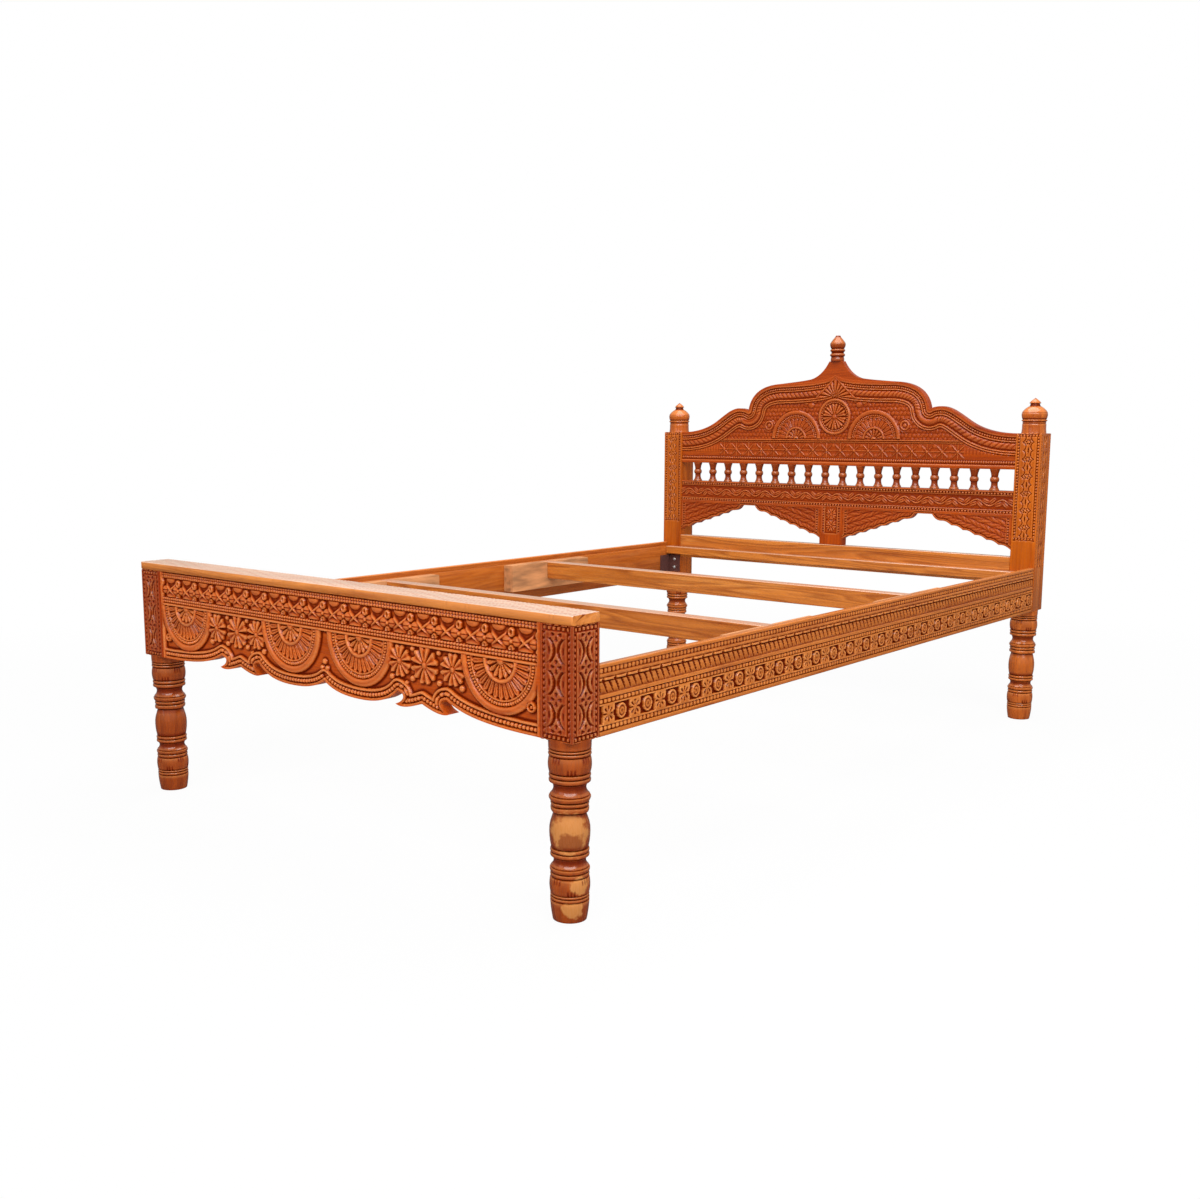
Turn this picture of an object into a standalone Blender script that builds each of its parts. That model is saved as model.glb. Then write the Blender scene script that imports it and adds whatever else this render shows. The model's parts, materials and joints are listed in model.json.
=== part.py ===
"""Carved teak bed frame: turned posts, a lobed foot panel, an arched headboard and two lift-out bearers."""
import math

import bmesh
import bpy
from mathutils import Matrix, Vector

for old in list(bpy.data.objects):
    bpy.data.objects.remove(old, do_unlink=True)

# Whole bed in metres: X across, Y from foot to head, Z up, floor at zero
BED_WIDTH = 1.300
BED_LENGTH = 2.080
POST = 0.072
LEG_HEIGHT = 0.318

# Fits between touching pieces, the broken edge of sawn timber, and what counts as sharp, flat or one point
SEAT_GAP = 0.0003
ARRIS = 0.0015
SHARP = math.radians(50)
FLAT = math.radians(0.5)
WELD = 0.00005

# Foot end: square block of the post, cap board and carved panel
FOOT_BLOCK = 0.1985
CAP_THICK = 0.0175
PANEL_THICK = 0.028
PANEL_SETBACK = 0.0015

# Side rails with a rebate along the inner top edge for the deck
RAIL_DEEP = 0.1245
RAIL_THICK = 0.030
REBATE_WIDE = 0.014
REBATE_DEEP = 0.0125

# Bearers, and the raw blocks on the rails with a notch that is open at the top
BEARER_THICK = 0.036
BEARER_DEEP = 0.050
BEARER_PLAY = 0.0006
FIRST_BEARER = 0.700
BEARER_SPACING = 0.645
BLOCK_LONG = 0.347
BLOCK_THICK = 0.035
BLOCK_FLOOR = 0.0277

# Ledgers under the two ends of the deck
LEDGER_DEEP = 0.025
LEDGER_THICK = 0.025

# Headboard, stacked from its lower rail upward
HEAD_STOCK = 0.030
HEAD_PANEL_STOCK = 0.022
HEAD_SETBACK = 0.002
LOWER_RAIL_DROP = 0.035
LOWER_RAIL_DEEP = 0.075
STILE_WIDE = 0.078
STILE_TALL = 0.120
MID_RAIL_DEEP = 0.067
GALLERY = 0.061
BALUSTERS = 18
BALUSTER_RADIUS = 0.0108
CREST_AT_POST = 0.1017
HEAD_FINIAL = 0.0985

# Crest: rises above its ends at the posts, and the turned finial on its spire
SWEEP_RISE = 0.0295
LOBE_RISE = 0.078
NOTCH_RISE = 0.0695
SHOULDER_RISE = 0.153
OGEE_RISE = 0.1645
SPIRE_RISE = 0.2183
SPIRE_HALF = 0.0225
CREST_FINIAL = 0.078
CREST_FINIAL_RADIUS = 0.0247

# Scalloped arches between the centre stile and the posts
ARCH_CROWN_WEB = 0.008
ARCH_CROWN_HALF = 0.027
ARCH_SHOULDER_RUN = 0.026
ARCH_SHOULDER_DROP = 0.0186
ARCH_FOOT_CLEAR = 0.020
ARCH_SCALLOPS = 6
ARCH_SCALLOP_DEEP = 0.0045

# Lower edge of the foot panel: rises above the bottom of the posts' blocks
LOBE_LOW = 0.0007
MIDDLE_CUSP = 0.0237
HOOK_BELLY = 0.0017
HOOK_MIDDLE = 0.017
HOOK_TIP = 0.0088
HOOK_ROOT = 0.033

# Carving of the foot panel: heights above the legs, reaches in from its edges, and depths below its face
FRIEZE_LOW = 0.1285
FRIEZE_CLEAR = 0.0015
FRIEZE_SUNK = 0.002
PANEL_END_FILLET = 0.0087
LATTICE_CROSSINGS = 18
LATTICE_END = 0.0054
LATTICE_PIT_HALF = 0.0215
LATTICE_PIT_LOW = 0.1615
LATTICE_PIT_HIGH = 0.183
LATTICE_PIT_SUNK = 0.0062
BORDER_BEADED = 0.0165
BORDER_RIB = 0.0228
BORDER_SUNK = 0.002
FIELD_HIGH = 0.122
FIELD_SUNK = 0.0068
FAN_LEVEL = 0.1215
FAN_RADIUS = 0.0895
FAN_SUNK = 0.0022
FLOWER_LEVEL = 0.090
FLOWER_RADII = (0.030, 0.034, 0.030)
FLOWER_PITCH = 0.0705
FLOWER_GAP = 0.001
FLOWER_SUNK = 0.0015

# Carving of the side rails: bands by their low and high edges above the legs, and ovals left standing in pits
BEAD_BANDS = ((0.0076, 0.0184), (0.0550, 0.0654), (0.1074, 0.1190))
BEAD_SUNK = 0.0012
FLUTE_BAND = (0.0715, 0.0920)
FLUTE_SUNK = 0.0022
OVALS = 26
OVAL_ENDS = (0.0319, 0.9867)
OVAL_LEVEL = 0.0367
OVAL_HALF = 0.0130
OVAL_TIP = 0.005
OVAL_PIT_HALF = 0.0205
OVAL_PIT_RISE = 0.015
OVAL_PIT_SUNK = 0.0052

# Steel corner brackets and their bolts
BRACKET_TALL = 0.058
BRACKET_BELOW_LEDGER = 0.005
BRACKET_REACH = 0.058
BRACKET_THICK = 0.004
BOLT_INSET = 0.015
BOLT_HEAD_RADIUS = 0.0055
BOLT_HEAD_HIGH = 0.004
BOLT_RADIUS = 0.003
BOLT_LONG = 0.034
BOLT_PLAY = 0.0005

# Facets round a turned piece
POST_STEPS = 12
SMALL_STEPS = 8
BOLT_STEPS = 6
FAN_STEPS = 8
FLOWER_STEPS = 8

# Places worked out from the sizes above
HALF_WIDTH = BED_WIDTH / 2
FOOT_Y = -BED_LENGTH / 2
HEAD_Y = BED_LENGTH / 2
POST_X = HALF_WIDTH - POST / 2
POST_INNER = HALF_WIDTH - POST
BOARD_END = POST_INNER - SEAT_GAP
FOOT_POST_REAR = FOOT_Y + POST
HEAD_POST_FRONT = HEAD_Y - POST
FOOT_POST_TOP = LEG_HEIGHT + FOOT_BLOCK
RAIL_TOP = LEG_HEIGHT + RAIL_DEEP
RAIL_INNER = HALF_WIDTH - RAIL_THICK
DECK_Z = RAIL_TOP - REBATE_DEEP
LOWER_RAIL_LOW = DECK_Z - LOWER_RAIL_DROP
LOWER_RAIL_TOP = LOWER_RAIL_LOW + LOWER_RAIL_DEEP
MID_RAIL_LOW = LOWER_RAIL_TOP + STILE_TALL
MID_RAIL_TOP = MID_RAIL_LOW + MID_RAIL_DEEP
CREST_LOW = MID_RAIL_TOP + GALLERY
HEAD_POST_TOP = CREST_LOW + CREST_AT_POST
HEAD_FRONT = HEAD_POST_FRONT + HEAD_SETBACK
HEAD_REAR = HEAD_FRONT + HEAD_STOCK
HEAD_PANEL_MIDDLE = HEAD_FRONT + HEAD_PANEL_STOCK / 2

# Turned members from the top down: share of the height, upper radius, lower radius, swell, steps.
# Radii and swells are shares of half the timber that the piece is turned from.
LEG_MEMBERS = (
    (10, 0.936, 0.936, 0.000, 1),
    (10, 0.925, 0.925, 0.053, 2),
    (36, 0.922, 0.933, 0.064, 2),
    (10, 0.928, 0.928, 0.044, 2),
    (26, 0.856, 0.958, -0.178, 3),
    (9, 0.958, 0.922, 0.017, 1),
    (13, 0.894, 0.894, 0.056, 2),
    (70, 0.778, 0.833, 0.156, 5),
    (11, 0.861, 0.861, 0.033, 2),
    (26, 0.814, 0.917, -0.139, 3),
    (9, 0.917, 0.878, 0.014, 1),
    (34, 0.878, 0.878, 0.061, 2),
    (12, 0.861, 0.861, 0.039, 2),
    (32, 0.911, 0.800, 0.028, 2),
)
HEAD_FINIAL_MEMBERS = (
    (12, 0.000, 0.417, 0.028, 2),
    (3, 0.431, 0.431, 0.000, 1),
    (7, 0.361, 0.431, -0.033, 2),
    (19, 0.431, 0.972, 0.083, 3),
    (17, 0.972, 0.894, 0.025, 2),
    (6, 0.894, 0.894, 0.061, 2),
    (6, 0.878, 0.878, 0.000, 1),
    (26, 0.903, 0.936, -0.022, 2),
)
CREST_FINIAL_MEMBERS = (
    (4, 0.243, 0.344, 0.024, 1),
    (19, 0.344, 0.960, 0.024, 2),
    (16, 0.960, 0.777, 0.060, 2),
    (9, 0.785, 0.785, 0.134, 2),
    (4, 0.769, 0.769, 0.000, 1),
    (10, 0.785, 0.785, 0.146, 2),
    (13, 0.769, 0.830, 0.032, 2),
)
BALUSTER_MEMBERS = (
    (4, 1.000, 1.000, 0.000, 1),
    (13, 0.957, 0.626, -0.070, 1),
    (24, 0.609, 0.609, 0.391, 3),
    (14, 0.591, 0.870, -0.070, 1),
    (6, 0.922, 0.922, 0.000, 1),
)
BOLT_CROWN = 0.80

# Waypoints of the sawn outlines across a board, as shares of its half length
CREST_OGEE = 0.152
CREST_SHOULDER = 0.346
CREST_NOTCH = 0.5435
CREST_LOBE = 0.6075
CREST_SWEEP = 0.775
PANEL_LOBE = 0.185
PANEL_HOOK = 0.489
PANEL_HOOK_REACH = 0.1375
PANEL_HOOK_ROOT = 0.123
HOOK_CURL = (0.15, 0.45)
SCALLOP_STEPS = 4
FAN_PLACES = (0.1852, 0.8343)

# Rings of a fan that are sunk, as shares of its radius
FAN_RINGS = ((0.0, 0.37), (0.46, 0.905))

# Pulls of the curves between waypoints, as shares of the run and the rise of each stretch
SPIRE_PULLS = ((0.19, 0.45), (0.54, 0.89))
OGEE_PULLS = ((0.29, 0.43), (0.64, 0.70))
SHOULDER_PULLS = ((0.61, 0.05), (0.93, 0.39))
NOTCH_PULLS = ((0.22, 0.70), (0.57, 1.00))
LOBE_PULLS = ((0.33, 0.00), (0.69, 0.65))
SWEEP_PULLS = ((0.23, 0.58), (0.56, 1.00))
HANGING_PULLS = ((0.25, 0.80), (0.60, 1.00))
RISING_PULLS = ((0.40, 0.00), (0.75, 0.20))
OUTER_PULLS = ((0.16, 0.62), (0.40, 1.00))
THROAT_PULLS = ((-2.0, 0.20), (-1.3, 0.80))
CROWN_PULLS = ((0.31, 0.65), (0.54, 0.89))


def collection(name):
    made = bpy.data.collections.new(name)
    bpy.context.scene.collection.children.link(made)
    return made


PARTS = collection("carved_teak_bed")
CUTTERS = collection("cutters")
CUTTERS.hide_render = True


def material(name, colour, roughness, metallic):
    made = bpy.data.materials.new(name)
    made.use_nodes = True
    shader = made.node_tree.nodes["Principled BSDF"]
    shader.inputs["Base Color"].default_value = (*colour, 1.0)
    shader.inputs["Roughness"].default_value = roughness
    shader.inputs["Metallic"].default_value = metallic
    return made


TEAK = material("polished_teak", (0.42, 0.15, 0.045), 0.30, 0.0)
RAW_WOOD = material("raw_wood", (0.52, 0.29, 0.15), 0.75, 0.0)
DARK_STEEL = material("dark_steel", (0.07, 0.045, 0.045), 0.45, 0.9)
BRIGHT_STEEL = material("bright_steel", (0.70, 0.69, 0.66), 0.25, 1.0)


def keep(name, mesh, finish, group):
    made = bpy.data.objects.new(name, mesh)
    group.objects.link(made)
    if group is CUTTERS:
        made.hide_render = True
        made.display_type = "WIRE"
    else:
        mesh.materials.append(finish)
    return made


def break_edges(made):
    """Takes the sharp arrises off a sawn piece."""
    bevel = made.modifiers.new("arris", "BEVEL")
    bevel.width = ARRIS
    bevel.segments = 1
    bevel.limit_method = "ANGLE"
    bevel.angle_limit = SHARP


def combine(made, other, operation):
    change = made.modifiers.new(operation.lower(), "BOOLEAN")
    change.operation = operation
    change.solver = "MANIFOLD"
    change.object = other


def board(name, low, high):
    """A sawn board given by two opposite corners, with its origin in its middle."""
    low, high = Vector(low), Vector(high)
    shell = bmesh.new()
    bmesh.ops.create_cube(shell, size=1.0)
    bmesh.ops.scale(shell, vec=high - low, verts=shell.verts)
    mesh = bpy.data.meshes.new(name)
    shell.to_mesh(mesh)
    shell.free()
    made = keep(name, mesh, TEAK, PARTS)
    made.location = (low + high) / 2
    break_edges(made)
    return made


def turning(members, height, radius):
    """Radius and depth below the top at each ring of a turned piece."""
    scale = height / sum(member[0] for member in members)
    rings = []
    depth = 0.0
    for tall, upper, lower, swell, steps in members:
        for step in range(steps + 1):
            t = step / steps
            share = upper + (lower - upper) * t + swell * (1 - (2 * t - 1) ** 2)
            ring = (share * radius, (depth + tall * t) * scale)
            if not rings or ring != rings[-1]:
                rings.append(ring)
        depth += tall
    return rings


def turned(name, rings, steps, finish=None, group=PARTS):
    """A piece turned about Z, whose rings run down from its origin; flat ends are closed to the axis."""
    line = [(radius, 0.0, -depth) for radius, depth in rings]
    if line[0][0] > 0:
        line.insert(0, (0.0, 0.0, line[0][2]))
    line.append((0.0, 0.0, line[-1][2]))
    mesh = bpy.data.meshes.new(name)
    mesh.from_pydata(line, [(i, i + 1) for i in range(len(line) - 1)], [])
    made = keep(name, mesh, finish, group)
    sweep = made.modifiers.new("turning", "SCREW")
    sweep.axis = "Z"
    sweep.angle = math.tau
    sweep.steps = steps
    sweep.render_steps = steps
    sweep.use_merge_vertices = True
    sweep.merge_threshold = WELD
    sweep.use_smooth_shade = True
    return made


STANDING = {
    "XZ": Matrix(((1, 0, 0, 0), (0, 0, -1, 0), (0, 1, 0, 0), (0, 0, 0, 1))),
    "YZ": Matrix(((0, 0, 1, 0), (1, 0, 0, 0), (0, 1, 0, 0), (0, 0, 0, 1))),
    "XY": Matrix.Identity(4),
}
ACROSS = {"XZ": Vector((0, 1, 0)), "YZ": Vector((1, 0, 0)), "XY": Vector((0, 0, 1))}


def sawn(name, outlines, plane, middle, thick, finish=TEAK, group=PARTS):
    """A board sawn to one or more outlines in the named plane; middle is where half its thickness lies."""
    curve = bpy.data.curves.new(name, "CURVE")
    curve.dimensions = "2D"
    curve.fill_mode = "BOTH"
    curve.extrude = thick / 2
    for outline in outlines:
        line = curve.splines.new("POLY")
        line.points.add(len(outline) - 1)
        for point, (u, v) in zip(line.points, outline):
            point.co = (u, v, 0.0, 1.0)
        line.use_cyclic_u = True
    drawn = bpy.data.objects.new(name + "_outline", curve)
    CUTTERS.objects.link(drawn)
    view = bpy.context.evaluated_depsgraph_get()
    mesh = bpy.data.meshes.new_from_object(drawn.evaluated_get(view))
    bpy.data.objects.remove(drawn, do_unlink=True)
    shell = bmesh.new()
    shell.from_mesh(mesh)
    bmesh.ops.remove_doubles(shell, verts=shell.verts, dist=WELD)
    bmesh.ops.transform(shell, matrix=STANDING[plane], verts=shell.verts)
    bmesh.ops.recalc_face_normals(shell, faces=shell.faces)
    bmesh.ops.dissolve_limit(shell, angle_limit=FLAT, verts=shell.verts, edges=shell.edges)
    shell.to_mesh(mesh)
    shell.free()
    mesh.name = name
    mesh.materials.clear()
    made = keep(name, mesh, finish, group)
    made.location = ACROSS[plane] * middle
    return made


CUT_PROUD = 0.004


def cutter(name, outlines, plane, face, outward, sunk):
    """A solid that sinks outlines into a flat face; outward is the way the face looks along its axis."""
    middle = face + outward * (CUT_PROUD - sunk) / 2
    return sawn(name, outlines, plane, middle, CUT_PROUD + sunk, group=CUTTERS)


def cubic(start, first, second, end, steps):
    """Points along a cubic curve through its two pulls, without the first point."""
    points = []
    for step in range(1, steps + 1):
        t = step / steps
        weights = ((1 - t) ** 3, 3 * t * (1 - t) ** 2, 3 * t * t * (1 - t), t ** 3)
        corners = (start, first, second, end)
        points.append(tuple(sum(w * c[axis] for w, c in zip(weights, corners)) for axis in (0, 1)))
    return points


def stretch(start, pulls, end, steps):
    """A curve whose pulls are shares of the run and the rise from start to end."""
    run, rise = end[0] - start[0], end[1] - start[1]
    first, second = ((start[0] + run * u, start[1] + rise * v) for u, v in pulls)
    return cubic(start, first, second, end, steps)


def both_sides(right_half):
    """An outline from the middle out to the right, closed by its mirror image on the left."""
    return right_half + [(-x, z) for x, z in reversed(right_half) if x > 0]


def arc(centre, radius, start, end, steps):
    """Points on a circle from one angle to another, with both ends."""
    points = []
    for step in range(steps + 1):
        angle = start + (end - start) * step / steps
        points.append((centre[0] + radius * math.cos(angle), centre[1] + radius * math.sin(angle)))
    return points


def disc(centre, radius, steps):
    return arc(centre, radius, 0.0, math.tau, steps)[:-1]


def box(low, high):
    return [low, (high[0], low[1]), high, (low[0], high[1])]


def side_name(side):
    return "left" if side < 0 else "right"


# Posts: block, leg and finial are turned and squared from one length of timber
TURNED_SINK = 0.005


def post(name, side, front, top, finial_high):
    centre = Vector((side * POST_X, front + POST / 2, 0.0))
    half = Vector((POST / 2, POST / 2, 0.0))
    made = board(name, centre - half + Vector((0, 0, LEG_HEIGHT)), centre + half + Vector((0, 0, top)))
    rings = turning(LEG_MEMBERS, LEG_HEIGHT, POST / 2)
    rings.insert(0, (rings[0][0], -TURNED_SINK))
    leg = turned(name + "_leg", rings, POST_STEPS, group=CUTTERS)
    leg.location = centre + Vector((0, 0, LEG_HEIGHT))
    combine(made, leg, "UNION")
    if finial_high:
        rings = turning(HEAD_FINIAL_MEMBERS, finial_high, POST / 2)
        rings.append((rings[-1][0], finial_high + TURNED_SINK))
        finial = turned(name + "_finial", rings, POST_STEPS, group=CUTTERS)
        finial.location = centre + Vector((0, 0, top + finial_high))
        combine(made, finial, "UNION")
    return made


BRACKET_HIGH = DECK_Z - LEDGER_DEEP - BRACKET_BELOW_LEDGER
BRACKET_LOW = BRACKET_HIGH - BRACKET_TALL
BOLT_HEIGHTS = (BRACKET_LOW + BOLT_INSET, BRACKET_HIGH - BOLT_INSET)
BOLT_X = (RAIL_INNER + POST_INNER) / 2


def bracket(place, side, face, inward, carrier):
    """Angle bracket on a post face and a rail; inward is the way along Y into the bed."""
    rail_face = side * (RAIL_INNER - SEAT_GAP)
    rail_skin = rail_face - side * BRACKET_THICK
    post_face = face + inward * SEAT_GAP
    post_skin = post_face + inward * BRACKET_THICK
    tip = post_face + inward * BRACKET_REACH
    outline = [
        (rail_face, post_face),
        (rail_face, tip),
        (rail_skin, tip),
        (rail_skin, post_skin),
        (side * POST_INNER, post_skin),
        (side * POST_INNER, post_face),
    ]
    made = sawn("bracket_" + place, [outline], "XY", BRACKET_LOW + BRACKET_TALL / 2, BRACKET_TALL, DARK_STEEL)
    seat = post_skin + inward * SEAT_GAP
    head_rings = [
        (BOLT_HEAD_RADIUS * BOLT_CROWN, 0.0),
        (BOLT_HEAD_RADIUS, BOLT_HEAD_HIGH / 2),
        (BOLT_HEAD_RADIUS, BOLT_HEAD_HIGH),
    ]
    shank_rings = [(BOLT_RADIUS, BOLT_HEAD_HIGH), (BOLT_RADIUS, BOLT_HEAD_HIGH + BOLT_LONG)]
    bore_radius = BOLT_RADIUS + BOLT_PLAY
    bore_rings = [(bore_radius, 0.0), (bore_radius, BOLT_HEAD_HIGH + BOLT_LONG + BOLT_PLAY)]
    for number, height in enumerate(BOLT_HEIGHTS, 1):
        ending = "%s_%d" % (place, number)
        bolt = turned("bolt_" + ending, head_rings + shank_rings, BOLT_STEPS, BRIGHT_STEEL)
        bore = turned("bore_" + ending, bore_rings, BOLT_STEPS, group=CUTTERS)
        for piece in (bolt, bore):
            piece.rotation_euler = (-inward * math.pi / 2, 0.0, 0.0)
            piece.location = (side * BOLT_X, seat + inward * BOLT_HEAD_HIGH, height)
        combine(made, bore, "DIFFERENCE")
        combine(carrier, bore, "DIFFERENCE")


for side in (-1, 1):
    hand = side_name(side)
    foot_post = post("foot_post_" + hand, side, FOOT_Y, FOOT_POST_TOP, 0.0)
    head_post = post("head_post_" + hand, side, HEAD_POST_FRONT, HEAD_POST_TOP, HEAD_FINIAL)
    bracket("foot_" + hand, side, FOOT_POST_REAR, 1, foot_post)
    bracket("head_" + hand, side, HEAD_POST_FRONT, -1, head_post)

# Foot end: the cap lies over both posts and the panel between them
board(
    "foot_cap",
    (-HALF_WIDTH, FOOT_Y, FOOT_POST_TOP + SEAT_GAP),
    (HALF_WIDTH, FOOT_POST_REAR, FOOT_POST_TOP + CAP_THICK),
)


def panel_outline():
    """Middle cusp, hanging lobe, a leaf with two hooked tips, and the outer lobe that runs to the post."""
    base = LEG_HEIGHT
    root = {way: (BOARD_END * (PANEL_HOOK + way * PANEL_HOOK_ROOT), base + HOOK_ROOT) for way in (-1, 1)}
    lobe_low = (BOARD_END * PANEL_LOBE, base + LOBE_LOW)
    leaf_middle = (BOARD_END * PANEL_HOOK, base + HOOK_MIDDLE)
    line = [(0.0, base + MIDDLE_CUSP)]
    line += stretch(line[0], HANGING_PULLS, lobe_low, 4)
    line += stretch(lobe_low, RISING_PULLS, root[-1], 4)
    leaf = {}
    for way in (-1, 1):
        tip = (BOARD_END * (PANEL_HOOK + way * PANEL_HOOK_REACH), base + HOOK_TIP)
        pulls = [(tip[0] + (leaf_middle[0] - tip[0]) * share, base + HOOK_BELLY) for share in HOOK_CURL]
        leaf[way] = stretch(root[way], THROAT_PULLS, tip, 4) + cubic(tip, *pulls, leaf_middle, 4)
    line += leaf[-1] + leaf[1][-2::-1]
    line.append(root[1])
    line += stretch(root[1], OUTER_PULLS, (BOARD_END, base + LOBE_LOW), 6)
    line.append((BOARD_END, FOOT_POST_TOP - SEAT_GAP))
    return both_sides(line)


PANEL_FACE = FOOT_Y + PANEL_SETBACK
foot_panel = sawn("foot_panel", [panel_outline()], "XZ", PANEL_FACE + PANEL_THICK / 2, PANEL_THICK)


def border_line(inset, end):
    """Line a distance inside the panel's lower edge, from left to right, that passes over the hooked leaf."""
    base = LEG_HEIGHT
    root = {way: (BOARD_END * (PANEL_HOOK + way * PANEL_HOOK_ROOT), base + HOOK_ROOT) for way in (-1, 1)}
    lobe_low = (BOARD_END * PANEL_LOBE, base + LOBE_LOW)
    edge = [(0.0, base + MIDDLE_CUSP)]
    edge += stretch(edge[0], HANGING_PULLS, lobe_low, 3)
    edge += stretch(lobe_low, RISING_PULLS, root[-1], 3)
    edge += [(BOARD_END * PANEL_HOOK, base + HOOK_MIDDLE), root[1]]
    edge += stretch(root[1], OUTER_PULLS, (BOARD_END, base + LOBE_LOW), 4)
    line = [(0.0, edge[0][1] + inset)]
    for before, here, after in zip(edge, edge[1:], edge[2:]):
        run, rise = after[0] - before[0], after[1] - before[1]
        share = inset / math.hypot(run, rise)
        line.append((here[0] - rise * share, here[1] + run * share))
    line.append((end, edge[-1][1] + inset))
    return [(-x, z) for x, z in reversed(line[1:])] + line


def sink(name, outlines, sunk):
    cut = cutter(name, outlines, "XZ", PANEL_FACE, -1, sunk)
    combine(foot_panel, cut, "DIFFERENCE")
    return cut


# Border: its beaded strip is sunk, which leaves a rib between it and the field
strip_low = LEG_HEIGHT - POST
strip = border_line(BORDER_BEADED, HALF_WIDTH) + [(HALF_WIDTH, strip_low), (-HALF_WIDTH, strip_low)]
sink("panel_strip", [strip], BORDER_SUNK)

# Field below the frieze, with fans and flowers left standing in it
field_end = BOARD_END - PANEL_END_FILLET
field_high = LEG_HEIGHT + FIELD_HIGH
field_outline = border_line(BORDER_RIB, field_end) + [(field_end, field_high), (-field_end, field_high)]
field = sink("panel_field", [field_outline], FIELD_SUNK)
fan_centres = [(way * BOARD_END * share, LEG_HEIGHT + FAN_LEVEL) for share in FAN_PLACES for way in (-1, 1)]
fans = [disc(centre, FAN_RADIUS, 2 * FAN_STEPS) for centre in fan_centres]
middle_flower = BOARD_END * sum(FAN_PLACES) / 2
flower_marks = [
    ((way * (middle_flower + place * FLOWER_PITCH), LEG_HEIGHT + FLOWER_LEVEL), radius)
    for place, radius in zip((-1, 0, 1), FLOWER_RADII)
    for way in (-1, 1)
]
flowers = [disc(centre, radius, FLOWER_STEPS) for centre, radius in flower_marks]
for kind, outlines in (("fans", fans), ("flowers", flowers)):
    standing = cutter("panel_" + kind, outlines, "XZ", PANEL_FACE, -1, PANEL_THICK / 2)
    combine(field, standing, "DIFFERENCE")
tops = [disc(centre, radius + FLOWER_GAP, FLOWER_STEPS) for centre, radius in flower_marks]
sink("panel_flower_tops", tops, FLOWER_SUNK)


def half_ring(centre, inner, outer):
    """Lower half of a ring, or of a disc where it has no inner radius."""
    line = arc(centre, outer, math.pi, math.tau, FAN_STEPS)
    if inner:
        line += arc(centre, inner, math.tau, math.pi, FAN_STEPS)
    return line


rings = [
    half_ring(centre, FAN_RADIUS * inner, FAN_RADIUS * outer)
    for centre in fan_centres
    for inner, outer in FAN_RINGS
]
sink("panel_fan_rings", rings, FAN_SUNK)

# Frieze: a sunk band, with a deeper pit above each crossing of its lattice
frieze_high = FOOT_POST_TOP - FRIEZE_CLEAR
sink("panel_frieze", [box((-field_end, LEG_HEIGHT + FRIEZE_LOW), (field_end, frieze_high))], FRIEZE_SUNK)
lattice_end = BOARD_END - LATTICE_END
lattice_pitch = 2 * lattice_end / LATTICE_CROSSINGS
pit_low = LEG_HEIGHT + LATTICE_PIT_LOW
pit_high = LEG_HEIGHT + LATTICE_PIT_HIGH
pits = []
for number in range(LATTICE_CROSSINGS):
    x = (number + 0.5) * lattice_pitch - lattice_end
    pits.append([(x, pit_low), (x + LATTICE_PIT_HALF, pit_high), (x - LATTICE_PIT_HALF, pit_high)])
sink("panel_pits", pits, LATTICE_PIT_SUNK)

# Side rails between the posts, carved in bands along the outer face
rail_long = HEAD_POST_FRONT - FOOT_POST_REAR - 2 * SEAT_GAP
rail_middle = (HEAD_POST_FRONT + FOOT_POST_REAR) / 2


def rail_band(edges):
    low, high = edges
    return box((FOOT_POST_REAR, LEG_HEIGHT + low), (HEAD_POST_FRONT, LEG_HEIGHT + high))


def oval_pits():
    """Pits to both sides of each oval, so that it stands between them."""
    first, last = (rail_middle + (share - 0.5) * rail_long for share in OVAL_ENDS)
    level = LEG_HEIGHT + OVAL_LEVEL
    outlines = []
    for number in range(OVALS):
        y = first + (last - first) * number / (OVALS - 1)
        for way in (-1, 1):
            outlines.append([
                (y + way * OVAL_PIT_HALF, level - OVAL_PIT_RISE),
                (y + way * OVAL_PIT_HALF, level + OVAL_PIT_RISE),
                (y + way * OVAL_TIP, level + OVAL_PIT_RISE),
                (y + way * OVAL_HALF, level),
                (y + way * OVAL_TIP, level - OVAL_PIT_RISE),
            ])
    return outlines


rail_carvings = (
    ("beads", [rail_band(edges) for edges in BEAD_BANDS], BEAD_SUNK),
    ("flutes", [rail_band(FLUTE_BAND)], FLUTE_SUNK),
    ("ovals", oval_pits(), OVAL_PIT_SUNK),
)
for side in (-1, 1):
    inner = side * RAIL_INNER
    outer = side * HALF_WIDTH
    step = side * (RAIL_INNER + REBATE_WIDE)
    section = [
        (outer, LEG_HEIGHT),
        (outer, RAIL_TOP),
        (step, RAIL_TOP),
        (step, DECK_Z),
        (inner, DECK_Z),
        (inner, LEG_HEIGHT),
    ]
    rail = sawn("side_rail_" + side_name(side), [section], "XZ", rail_middle, rail_long)
    break_edges(rail)
    for carving, outlines, sunk in rail_carvings:
        cut = cutter("rail_%s_%s" % (carving, side_name(side)), outlines, "YZ", outer, side, sunk)
        combine(rail, cut, "DIFFERENCE")

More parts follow.
